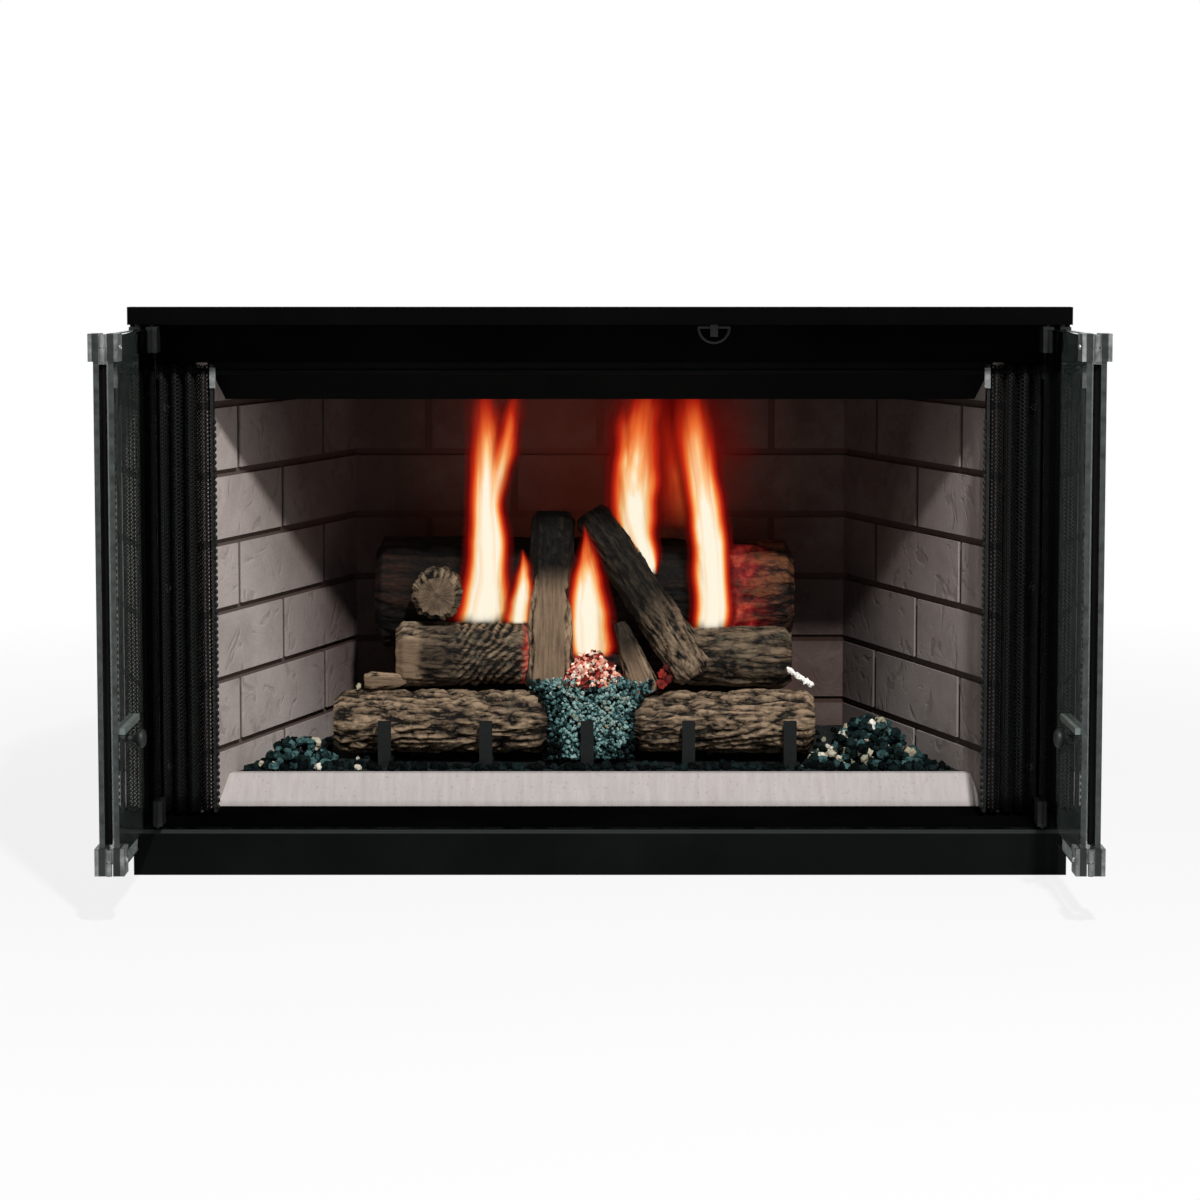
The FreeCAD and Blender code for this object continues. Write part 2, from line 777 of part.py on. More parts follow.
head_back = lintel_y - dims["head_gap"]
head_front = head_back - dims["head_depth"]
ring_y = (head_front + head_back) / 2
ring_z = damper_rod_z + dims["ring_rise"]


def make_damper_rod():
    radius = dims["rod_radius"]
    length = crank_pin_y + radius - head_front
    bar = rod("pull_bar", "Y", radius, length, dims["rod_x"], head_front, damper_rod_z)
    pin = rod("pull_pin", "X", dims["crank_pin_radius"], dims["crank_pin_length"],
              dims["rod_x"], crank_pin_y, damper_rod_z)
    half = dims["head_width"] / 2
    x_span = (dims["rod_x"] - half, dims["rod_x"] + half)
    z_span = (damper_rod_z - radius, ring_z + dims["head_rise"])
    head = box("pull_head", x_span, (head_front, head_back), z_span)
    bore = rod("pull_head_bore", "X", dims["ring_wire"] + dims["running_gap"], dims["head_width"],
               x_span[0], ring_y, ring_z)
    return cut("damper_rod", fuse("pull_solid", [bar, pin, head]), [bore])


def make_damper_ring():
    bow = doc.addObject("Part::Torus", "ring_bow")
    bind(bow, "Radius1", dims["ring_radius"])
    bind(bow, "Radius2", dims["ring_wire"])
    bow.Angle3 = 180
    # A half ring drawn on the XY plane, stood up so that it hangs below its axle
    turn(bow, (1, 0, 0), -90)
    place(bow, dims["rod_x"], ring_y, ring_z)
    axle = rod("ring_axle", "X", dims["ring_wire"], dims["ring_radius"] * 2,
               dims["rod_x"] - dims["ring_radius"], ring_y, ring_z)
    return fuse("damper_ring", [bow, axle])


# Fire screen

screen_y = front + dims["screen_setback"]
screen_z = dims["frame_height"] - dims["screen_rod_drop"]
screen_top = screen_z + dims["header_rise"]
screen_bottom = sill + dims["screen_gap"]
bunch_start = -jamb_x + dims["bracket_width"] + dims["bar_gap"] * 2
bunch_end = bunch_start + dims["bunch_width"]
PLEATS = 7


def make_screen_rod():
    half = jamb_x - dims["fit_gap"]
    return rod("screen_rod", "X", dims["screen_rod_radius"], half * 2, -half, screen_y, screen_z)


def make_rod_brackets():
    brackets = []
    half = dims["bracket_depth"] / 2
    for side, word in ((-1, "left"), (1, "right")):
        near = jamb_x - dims["bracket_width"]
        x_span = (near, jamb_x) if side > 0 else (-jamb_x, -near)
        plate = box("bracket_plate_" + word, x_span, (screen_y - half, screen_y + half),
                    (screen_z - half, screen_top))
        bore = rod("bracket_bore_" + word, "X", dims["screen_rod_radius"] + dims["running_gap"],
                   dims["bracket_width"], x_span[0], screen_y, screen_z)
        brackets.append(cut("bracket_" + word, plate, [bore]))
    return group("rod_brackets", brackets)


def make_curtain():
    # The pleats zigzag from front to back, as a band of even depth
    swing = (dims["bunch_depth"] - dims["mesh_band"]) / 2
    half_band = dims["mesh_band"] / 2
    pitch = dims["bunch_width"] / PLEATS
    crests = []
    for i in range(PLEATS + 1):
        crests.append((bunch_start + pitch * i, screen_y + swing if i % 2 else screen_y - swing))
    near = [(x, y - half_band) for x, y in crests]
    far = [(x, y + half_band) for x, y in reversed(crests)]
    folds = prism("curtain_folds", "XY", near + far, screen_bottom, screen_top)
    eye = rod("curtain_eye", "X", dims["screen_rod_radius"] + dims["mesh_eye_gap"], dims["bunch_width"],
              bunch_start, screen_y, screen_z)
    return cut("mesh_curtain_left", folds, [eye])


def make_screen_bar():
    x_start = bunch_end + dims["bar_gap"]
    x_end = x_start + dims["screen_bar_width"]
    half = dims["screen_bar_depth"] / 2
    y_span = (screen_y - half, screen_y + half)
    bar = box("screen_bar_strip", (x_start, x_end), y_span, (screen_bottom, screen_top))
    tab_top = screen_z + dims["screen_tab_rise"]
    tab = box("screen_bar_tab", (x_start, x_start + dims["screen_tab_width"]),
              (screen_y - half - dims["screen_bar_width"], screen_y - half),
              (tab_top - dims["screen_tab_length"], tab_top))
    eye_radius = dims["screen_rod_radius"] + dims["bar_eye_gap"]
    eye = rod("screen_bar_eye", "X", eye_radius, dims["screen_bar_width"], x_start, screen_y, screen_z)
    return cut("screen_bar_left", fuse("screen_bar_solid", [bar, tab]), [eye])


# Doors: each panel is drawn closed, along X with the fire behind it at +Y, then turned to its open place

door_bottom = sill + dims["door_bottom_gap"]
door_top = track_z - dims["door_top_gap"]
glass_half = dims["glass_thickness"] / 2
glass_bottom = door_bottom + dims["clip_wall"]
glass_top = door_top - dims["clip_wall"]
knuckle_split = dims["clip_height"] / 2


def open_panel(item, which):
    """Sets the outer panel at its jamb pivot, or the inner one at the fold, square to the front."""
    if which == "outer":
        turn(item, (0, 0, 1), -90)
        return place(item, -pivot_x, track_y, 0)
    turn(item, (0, 0, 1), 90)
    return place(item, -guide_open_x, track_y - panel, 0)


def glass_span(which):
    if which == "outer":
        return (-dims["glass_overhang"], panel - dims["glass_fold_gap"])
    return (dims["glass_fold_gap"], panel + dims["glass_overhang"])


def glass_box(name, which):
    return box(name, glass_span(which), (-glass_half, glass_half), (glass_bottom, glass_top))


def make_glass(which):
    sheet_box = glass_box("glass_sheet_" + which, which)
    return open_panel(group("glass_%s_left" % which, [sheet_box]), which)


def clip_levels():
    return (("low", door_bottom), ("high", door_top - dims["clip_height"]))


def knuckle_span(which, level):
    """The outer panel's hinge barrel fills the lower half of the clip, the inner one's the upper half."""
    gap = dims["knuckle_gap"] / 2
    if which == "outer":
        return (level + gap, level + knuckle_split - gap)
    return (level + knuckle_split + gap, level + dims["clip_height"] - gap)


def make_clips(which):
    wall = dims["clip_wall"]
    start, end = glass_span(which)
    start = start - wall
    end = end + wall
    free_end = (start, start + dims["clip_length"])
    hinge_end = (end - dims["clip_length"], end)
    fold_at = panel
    pin_at = sized(0)
    if which == "inner":
        free_end = (end - dims["clip_length"], end)
        hinge_end = (start, start + dims["clip_length"])
        fold_at = sized(0)
        pin_at = panel
    y_span = (-dims["clip_room_side"], dims["clip_fire_side"])
    pieces = []
    bores = [glass_box("clip_groove_" + which, which)]
    for word, level in clip_levels():
        tag = "%s_%s" % (which, word)
        z_span = (level, level + dims["clip_height"])
        pieces.append(box("clip_free_" + tag, free_end, y_span, z_span))
        pieces.append(box("clip_fold_" + tag, hinge_end, y_span, z_span))
        low, high = knuckle_span(which, level)
        pieces.append(rod("knuckle_" + tag, "Z", dims["knuckle_radius"], high - low, fold_at, fold, low))
        web = (hinge_end[1] - dims["web_length"], hinge_end[1])
        if which == "inner":
            web = (hinge_end[0], hinge_end[0] + dims["web_length"])
        pieces.append(box("web_" + tag, web, (0, fold), (low, high)))
        bore_radius = dims["hinge_pin_radius"]
        if which == "inner":
            bore_radius = bore_radius + dims["running_gap"]
        bores.append(rod("knuckle_bore_" + tag, "Z", bore_radius, high - low, fold_at, fold, low))
    pin_low = plate_bottom - dims["pin_reach"]
    pin_high = track_z + dims["face_sheet"] + dims["pin_reach"]
    pin = dims["pin_radius"]
    pieces.append(rod("pin_low_" + which, "Z", pin, door_bottom - pin_low, pin_at, 0, pin_low))
    pieces.append(rod("pin_high_" + which, "Z", pin, pin_high - door_top, pin_at, 0, door_top))
    if which == "outer":
        foot = sill + dims["shoulder_gap"]
        pieces.append(rod("shoulder", "Z", dims["shoulder_radius"], door_bottom - foot, pin_at, 0, foot))
    solid = cut("clip_set_" + which, fuse("clip_solid_" + which, pieces), bores)
    return open_panel(group("clips_%s_left" % which, [solid]), which)


def make_hinge_pins():
    pins = []
    gap = dims["knuckle_gap"] / 2
    for word, level in clip_levels():
        pins.append(rod("hinge_pin_" + word, "Z", dims["hinge_pin_radius"], dims["clip_height"] - gap * 2,
                        panel, fold, level + gap))
    return open_panel(group("hinge_pins_left", pins), "outer")


def make_pull():
    low = sill + dims["pull_level"]
    start = dims["pull_start"]
    y_span = (-glass_half - dims["pull_depth"], -glass_half)
    bar = box("pull_strip", (start, start + dims["pull_length"]), y_span, (low, low + dims["pull_height"]))
    return open_panel(group("door_pull_left", [bar]), "inner")


def make_knob():
    middle = dims["pull_start"] + dims["pull_length"] / 2
    stem = rod("knob_stem", "Y", dims["knob_radius"], dims["knob_length"], middle,
               -glass_half - dims["knob_length"], sill + dims["pull_level"] - dims["knob_drop"])
    return open_panel(group("door_knob_left", [stem]), "inner")


# Grate, logs and embers

rail_bottom = hearth + dims["foot_height"]
bar_bottom = rail_bottom + dims["rail_height"]
bar_top = bar_bottom + dims["grate_bar_height"]
finger_y = wall_front + dims["grate_setback"]
grate_end = wall_back - dims["grate_rear_gap"]
grate_left = dims["grate_inset_left"] - mouth_half
grate_right = mouth_half - dims["grate_inset_right"]
grate_x = (grate_left + grate_right) / 2
GRATE_BARS = 5
grate_pitch = (grate_right - grate_left) / (GRATE_BARS - 1)


def make_grate_bars():
    bars = []
    thick = dims["grate_bar_height"]
    half = dims["grate_bar_width"] / 2
    rear_top = bar_top + dims["rear_rise"]
    finger_top = bar_top + dims["finger_rise"]
    for i in range(GRATE_BARS):
        middle = grate_left + grate_pitch * i
        outline = [(finger_y, bar_bottom), (grate_end, bar_bottom), (grate_end, rear_top),
                   (grate_end - thick, rear_top), (grate_end - thick, bar_top), (finger_y + thick, bar_top),
                   (finger_y + thick, finger_top), (finger_y, finger_top)]
        bars.append(prism("grate_bar_%d" % i, "YZ", outline, middle - half, middle + half))
    return group("grate_bars", bars)


def rail_spots():
    half = dims["rail_width"] / 2
    return (finger_y + dims["rail_inset"] + half, grate_end - dims["rail_inset"] - half)


def rail_half_length():
    return (grate_right - grate_left) / 2 + dims["grate_bar_width"]


def make_grate_rails():
    rails = []
    half = dims["rail_width"] / 2
    reach = rail_half_length()
    for i, y in enumerate(rail_spots()):
        x_span = (grate_x - reach, grate_x + reach)
        rails.append(box("grate_rail_%d" % i, x_span, (y - half, y + half), (rail_bottom, bar_bottom)))
    return group("grate_rails", rails)


def grate_feet(tag, radius, height):
    feet = []
    reach = rail_half_length() - dims["foot_radius"]
    for i, y in enumerate(rail_spots()):
        for side, word in ((-1, "left"), (1, "right")):
            x = grate_x + reach * side
            feet.append(rod("%s_%d_%s" % (tag, i, word), "Z", radius, height, x, y, hearth))
    return feet


def make_grate_feet():
    return group("grate_feet", grate_feet("foot", dims["foot_radius"], dims["foot_height"]))


def from_side(side, amount):
    """The place across the firebox of an amount in from a side of the mouth, or from the middle."""
    if side == "middle":
        return amount
    return amount - mouth_half if side == "left" else mouth_half - amount


def log_length(log, start):
    if log in LOG_LENGTHS:
        return dims[log + "_length"]
    stop = from_side(LOG_STOPS[log][0], dims[log + "_stop"])
    return stop - start if stop.value > start.value else start - stop


def log_cone(label, log, grow):
    """A log's tapered round body, or with grow the seat that it presses into its neighbour."""
    field = {key: dims["%s_%s" % (log, key)] for key in LOG_FIELDS}
    yaw = math.radians(field["yaw"].value)
    pitch = math.radians(field["pitch"].value)
    flat = math.cos(pitch)
    along = FreeCAD.Vector(flat * math.cos(yaw), flat * math.sin(yaw), math.sin(pitch))
    item = doc.addObject("Part::Cone", label)
    bind(item, "Radius1", field["thick"] + grow)
    bind(item, "Radius2", field["thin"] + grow)
    start = from_side(LOGS[log][0], field["across"])
    bind(item, "Height", log_length(log, start))
    item.Placement = FreeCAD.Placement(FreeCAD.Vector(), FreeCAD.Rotation(FreeCAD.Vector(0, 0, 1), along))
    return place(item, start, finger_y + field["back"], bar_top + field["above"])


def make_log(log):
    seats = LOG_SEATS.get(log, ())
    if not seats:
        return log_cone(log, log, 0)
    body = log_cone(log + "_body", log, 0)
    tools = [log_cone("%s_seat_%s" % (log, seat), seat, dims["log_gap"]) for seat in seats]
    return cut(log, body, tools)


def make_ember_bed():
    start = front + dims["lip_setback"] + dims["lip_run"] + dims["lip_crest"]
    gap = dims["ember_gap"]
    plan = splayed_plan(start + gap, wall_back - gap, -gap)
    layer = prism("ember_layer", "XY", plan, hearth, hearth + dims["ember_depth"])
    # The embers are swept low under the grate, so that it stands clear of them
    around = dims["grate_bar_width"] / 2 + dims["pocket_gap"]
    z_span = (hearth + dims["ember_floor"], hearth + dims["ember_depth"])
    pocket = box("ember_pocket", (grate_left - around, grate_right + around),
                 (finger_y - dims["pocket_gap"], wall_back), z_span)
    holes = grate_feet("ember_hole", dims["foot_radius"] + gap, dims["ember_depth"])
    return cut("ember_bed", layer, [pocket] + holes)


def make_ember_heaps():
    heaps = []
    seats = {"bed": hearth + dims["ember_depth"], "bars": bar_top}
    for heap, values in HEAPS.items():
        field = {key: dims["%s_%s" % (heap, key)] for key in HEAP_FIELDS}
        item = doc.addObject("Part::Cone", heap)
        bind(item, "Radius1", field["foot"])
        bind(item, "Radius2", field["crown"])
        bind(item, "Height", field["height"])
        x = from_side(values[0], field["across"])
        heaps.append(place(item, x, finger_y + field["back"], seats[values[3]]))
    return group("ember_heaps", heaps)


# The sub-parts, each under its own label

damper_shaft = make_damper_shaft()
left_nodes = [make_jamb(), make_refractory_side(), make_curtain(), make_screen_bar(), make_hinge_pins(),
              make_pull(), make_knob()]
for which in ("outer", "inner"):
    left_nodes += [make_glass(which), make_clips(which)]
nodes = [
    make_base_pan(), make_hearth_supports(), make_hearth_plate(), make_kick_panel(), make_casing_wrap(),
    make_casing_top(), make_flue_collar(), make_firebox_shell(), make_refractory_back(), make_hearth_slab(),
    make_hearth_lip(), make_smoke_shield(), make_retainers(), make_retainer_screws(), make_top_track(),
    make_lintel(), make_throat_plate(), damper_shaft, make_damper_plate(damper_shaft),
    make_damper_bearings(), make_damper_rod(), make_damper_ring(), make_screen_rod(), make_rod_brackets(),
    make_grate_bars(), make_grate_rails(), make_grate_feet(), make_ember_bed(), make_ember_heaps(),
]
nodes += [make_log(log) for log in LOGS]
nodes += left_nodes + [mirror(node.Label.replace("_left", "_right"), node) for node in left_nodes]

doc.recompute()
for item in doc.Objects:
    if "Invalid" in item.State or "Error" in item.State:
        raise RuntimeError("%s failed: %s" % (item.Label, item.State))
for node in nodes:
    if node.Shape.isNull() or not node.Shape.isValid():
        raise RuntimeError("%s has no valid shape" % node.Label)

os.makedirs("parts", exist_ok=True)
for node in nodes:
    node.Shape.exportStep("parts/%s.step" % node.Label)
    box_size = node.Shape.BoundBox
    print("%-22s solids %2d volume %11.0f  x %7.1f %7.1f  y %7.1f %7.1f  z %6.1f %6.1f" % (
        node.Label, len(node.Shape.Solids), node.Shape.Volume, box_size.XMin, box_size.XMax,
        box_size.YMin, box_size.YMax, box_size.ZMin, box_size.ZMax))
print("nodes", len(nodes))
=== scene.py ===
import math
import random

import bmesh
import bpy
from mathutils import Matrix, Vector, noise


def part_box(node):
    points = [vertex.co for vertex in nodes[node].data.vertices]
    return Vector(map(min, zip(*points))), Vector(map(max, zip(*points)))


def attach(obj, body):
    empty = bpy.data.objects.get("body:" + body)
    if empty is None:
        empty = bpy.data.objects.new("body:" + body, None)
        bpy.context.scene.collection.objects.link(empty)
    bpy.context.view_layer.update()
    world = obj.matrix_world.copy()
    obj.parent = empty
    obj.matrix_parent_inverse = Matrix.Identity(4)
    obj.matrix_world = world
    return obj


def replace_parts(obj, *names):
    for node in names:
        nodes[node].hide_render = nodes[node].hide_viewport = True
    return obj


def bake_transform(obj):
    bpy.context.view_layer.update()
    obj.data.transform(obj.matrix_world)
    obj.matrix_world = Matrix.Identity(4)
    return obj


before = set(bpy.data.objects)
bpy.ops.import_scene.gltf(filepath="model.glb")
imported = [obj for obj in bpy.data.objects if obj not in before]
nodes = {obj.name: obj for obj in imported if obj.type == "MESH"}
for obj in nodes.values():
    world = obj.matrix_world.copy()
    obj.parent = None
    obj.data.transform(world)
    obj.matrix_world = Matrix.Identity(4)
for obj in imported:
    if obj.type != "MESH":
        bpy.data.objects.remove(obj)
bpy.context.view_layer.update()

scene = bpy.context.scene
MM = 0.001
ROOT = "fireplace"
SIDES = (("left", -1), ("right", 1))

# Places shared with the solids
WALL_FRONT = -0.1635
WALL_BACK = 0.1875
MOUTH_HALF = 0.421
WALL_SLOPE = 0.133 / 0.351
WALL_SECANT = math.hypot(1.0, WALL_SLOPE)
SCREEN_Y = -0.1795
GLASS_MIDDLES = (0.468, 0.454)
FINGER_Y = -0.0615
BAR_TOP = 0.080
BED_TOP = 0.077
POCKET_FLOOR = 0.067
POCKET_LEFT = -0.255
POCKET_RIGHT = 0.227
POCKET_FRONT = -0.0735


def colour(red, green, blue):
    """A colour as it shows on screen, 0 to 255, as a linear colour."""
    linear = []
    for level in (red / 255, green / 255, blue / 255):
        linear.append(level / 12.92 if level <= 0.04045 else ((level + 0.055) / 1.055) ** 2.4)
    return (*linear, 1.0)


def smooth(low, high, value):
    share = min(max((value - low) / (high - low), 0.0), 1.0)
    return share * share * (3 - 2 * share)


def wall_half(y, mouth=MOUTH_HALF):
    """Half the width between two walls that close in towards the back."""
    return mouth - WALL_SLOPE * (y - WALL_FRONT)


class Tree:
    """The nodes of a material or a world, with short calls that add and join them."""

    def __init__(self, owner, shader="Principled BSDF", **sockets):
        self.owner = owner
        owner.use_nodes = True
        self.nodes = owner.node_tree.nodes
        self.links = owner.node_tree.links
        self.shader = self.nodes[shader]
        for socket, value in sockets.items():
            self.set(socket.replace("_", " "), value)

    def add(self, kind, output, inputs, **settings):
        """Adds a node with its inputs filled or joined, and gives one of its outputs."""
        node = self.nodes.new("ShaderNode" + kind)
        for key, value in settings.items():
            setattr(node, key, value)
        for key, value in inputs.items():
            self.join(node.inputs[key], value)
        return node.outputs[output]

    def join(self, socket, value):
        if isinstance(value, bpy.types.NodeSocket):
            self.links.new(value, socket)
        else:
            socket.default_value = value

    def set(self, socket, value):
        self.join(self.shader.inputs[socket], value)

    def place(self, kind="Object"):
        node = self.nodes.get("Texture Coordinate") or self.nodes.new("ShaderNodeTexCoord")
        return node.outputs[kind]

    def stretch(self, scale, place=None):
        return self.add("Mapping", "Vector", {"Vector": place or self.place(), "Scale": scale})

    def noise(self, scale, detail=4.0, rough=0.5, place=None, twist=0.0):
        inputs = {"Vector": place or self.place(), "Scale": scale, "Detail": detail, "Roughness": rough,
                  "Distortion": twist}
        return self.add("TexNoise", "Fac", inputs)

    def warp(self, place, scale, reach):
        """The place, pushed about by noise."""
        push = self.add("TexNoise", "Color", {"Vector": place, "Scale": scale})
        return self.add("VectorMath", 0, {0: push, 1: (reach, reach, reach), 2: place},
                        operation="MULTIPLY_ADD")

    def cells(self, scale, output="Distance", place=None, feature="F1"):
        inputs = {"Vector": place or self.place(), "Scale": scale}
        return self.add("TexVoronoi", output, inputs, feature=feature)

    def ramp(self, value, *stops):
        """Colours along a value, each stop given as its position and its levels on screen."""
        node = self.nodes.new("ShaderNodeValToRGB")
        self.join(node.inputs["Fac"], value)
        elements = node.color_ramp.elements
        elements.remove(elements[1])
        elements[0].position = stops[0][0]
        elements[0].color = colour(*stops[0][1:])
        for position, *levels in stops[1:]:
            elements.new(position).color = colour(*levels)
        return node.outputs["Color"]

    def mix(self, amount, first, second, blend="MIX"):
        inputs = {0: amount, 6: first, 7: second}
        return self.add("Mix", 2, inputs, data_type="RGBA", blend_type=blend)

    def maths(self, operation, first, second=0.0):
        return self.add("Math", 0, {0: first, 1: second}, operation=operation)

    def times(self, first, second):
        return self.maths("MULTIPLY", first, second)

    def span(self, value, low, high, start=0.0, end=1.0):
        inputs = {"Value": value, "From Min": low, "From Max": high, "To Min": start, "To Max": end}
        return self.add("MapRange", "Result", inputs)

    def axis(self, name, place=None):
        return self.add("SeparateXYZ", name, {0: place or self.place()})

    def point(self, name):
        return self.add("Attribute", "Fac", {}, attribute_name=name)

    def bump(self, height, strength, depth, normal=None):
        inputs = {"Height": height, "Strength": strength, "Distance": depth}
        if normal:
            inputs["Normal"] = normal
        self.set("Normal", self.add("Bump", "Normal", inputs))

    def embers(self, glow, strength, *stops):
        """Light that grows with a glow."""
        self.set("Emission Color", self.ramp(glow, *stops))
        self.set("Emission Strength", self.span(glow, 0.0, 1.0, 0.0, strength))

    def blend(self, share, second, first=None):
        """The surface goes from one shader's output, or clear, to another's."""
        first = first or self.add("BsdfTransparent", 0, {})
        mixed = self.add("MixShader", 0, {0: share, 1: first, 2: second})
        self.join(self.nodes["Material Output"].inputs["Surface"], mixed)

    def seen(self):
        """1 for rays that show the background: straight, reflected or through glass."""
        paths = self.nodes.new("ShaderNodeLightPath").outputs
        bounced = self.maths("MAXIMUM", paths["Is Glossy Ray"], paths["Is Transmission Ray"])
        return self.maths("MAXIMUM", paths["Is Camera Ray"], bounced)

    def surface(self, base, rough, bump=None, low=0.3, high=0.7):
        """The material with its colour, its roughness as (noise, least, most) and its bump."""
        value, least, most = rough
        self.set("Base Color", base)
        self.set("Roughness", self.span(value, low, high, least, most))
        if bump:
            self.bump(*bump)
        return self.owner


# Materials

def new_tree(name, specular=0.5, **sockets):
    return Tree(bpy.data.materials.new(name), Specular_IOR_Level=specular, **sockets)


# Soot, deepened into painted shade over the walls' shaded parts.
SOOT_AND_SHADE = colour(60, 42, 36)
# Painted reddish firelight for the back wall behind the flames.
PAINTED_FIRELIGHT = colour(128, 72, 63)


def painted_steel(name, dark, light, edge_wear_and_highlight, specular, highlight_band=None):
    """Satin stove paint, with a fine texture and worn edges, and a painted highlight: a light band in the
    edge colour along one side of an axis.
    """
    tree = new_tree(name, specular=specular)
    base = tree.ramp(tree.noise(7, 4, 0.6), (0.35, *dark), (0.7, *light))
    rounded = tree.add("Bevel", "Normal", {"Radius": 1.2 * MM}, samples=4)
    sharp = tree.add("NewGeometry", "Normal", {})
    facing = tree.add("VectorMath", "Value", {0: rounded, 1: sharp}, operation="DOT_PRODUCT")
    edge = tree.span(facing, 0.98, 0.8)
    chipped = tree.times(edge, tree.span(tree.noise(60, 3), 0.35, 0.65))
    base = tree.mix(chipped, base, colour(*edge_wear_and_highlight))
    # Painted highlight: a light band, in the same colour as the worn edges, where a lit edge shows.
    if highlight_band:
        letter, start, end = highlight_band
        base = tree.mix(tree.span(tree.axis(letter), start, end, 0.0, 0.9), base, colour(*edge_wear_and_highlight))
    return tree.surface(base, (tree.noise(25, 3), 0.42, 0.62), (tree.noise(900, 2), 0.15, 0.4 * MM, rounded))


def galvanised_steel():
    """Zinc spangle: flat crystals of slightly different grey and gloss."""
    tree = new_tree("galvanised_steel", Metallic=0.9)
    spangle = tree.axis("X", tree.cells(130, "Color"))
    base = tree.ramp(spangle, (0.1, 118, 122, 124), (0.9, 146, 150, 152))
    dull = tree.span(tree.noise(18, 4, 0.6), 0.45, 0.75, 0.0, 0.6)
    base = tree.mix(dull, base, colour(108, 110, 110))
    return tree.surface(base, (spangle, 0.34, 0.52), (spangle, 0.06, 0.2 * MM), 0.0, 1.0)


def bright_steel():
    """Brushed steel with faint stains."""
    tree = new_tree("bright_steel", Metallic=1.0)
    brush = tree.noise(60, 3, 0.6, tree.stretch((30, 30, 1)))
    base = tree.ramp(tree.noise(40, 4), (0.35, 150, 153, 152), (0.7, 196, 199, 198))
    return tree.surface(base, (brush, 0.28, 0.5), (brush, 0.08, 0.2 * MM))


def clip_steel():
    """Glass clips: dull bright cheeks with a dark gasket between them, and near black towards the jamb end.
    """
    tree = new_tree("clip_steel", Metallic=0.5)
    across = tree.maths("ABSOLUTE", tree.axis("X"))
    bands = []
    for middle in GLASS_MIDDLES:
        away = tree.maths("ABSOLUTE", tree.maths("SUBTRACT", across, middle))
        bands.append(tree.span(away, 3.6 * MM, 2.8 * MM))
    gasket = tree.times(tree.maths("MAXIMUM", *bands), 0.92)
    base = tree.ramp(tree.noise(70, 4, 0.6), (0.35, 78, 82, 82), (0.7, 138, 142, 141))
    base = tree.mix(gasket, base, colour(14, 15, 15))
    jamb_end = tree.span(tree.axis("Y"), -0.36, -0.34, 0.0, 0.97)
    base = tree.mix(jamb_end, base, colour(7, 8, 8))
    return tree.surface(base, (tree.noise(140, 3), 0.35, 0.6), (tree.noise(500, 2), 0.1, 0.2 * MM))


def screen_bar_steel():
    """Blackened lead bar, with its pull tab left bright."""
    tree = new_tree("screen_bar_steel", specular=0.2)
    tab_front = SCREEN_Y - 6.2 * MM
    bright = tree.span(tree.axis("Y"), tab_front, tab_front - 0.2 * MM)
    dark = tree.ramp(tree.noise(90, 3), (0.3, 14, 15, 15), (0.7, 30, 31, 31))
    pale = tree.ramp(tree.noise(220, 3), (0.3, 96, 98, 97), (0.7, 136, 138, 136))
    base = tree.mix(bright, dark, pale)
    return tree.surface(base, (tree.noise(120, 2), 0.35, 0.55), (tree.noise(700, 2), 0.1, 0.2 * MM))


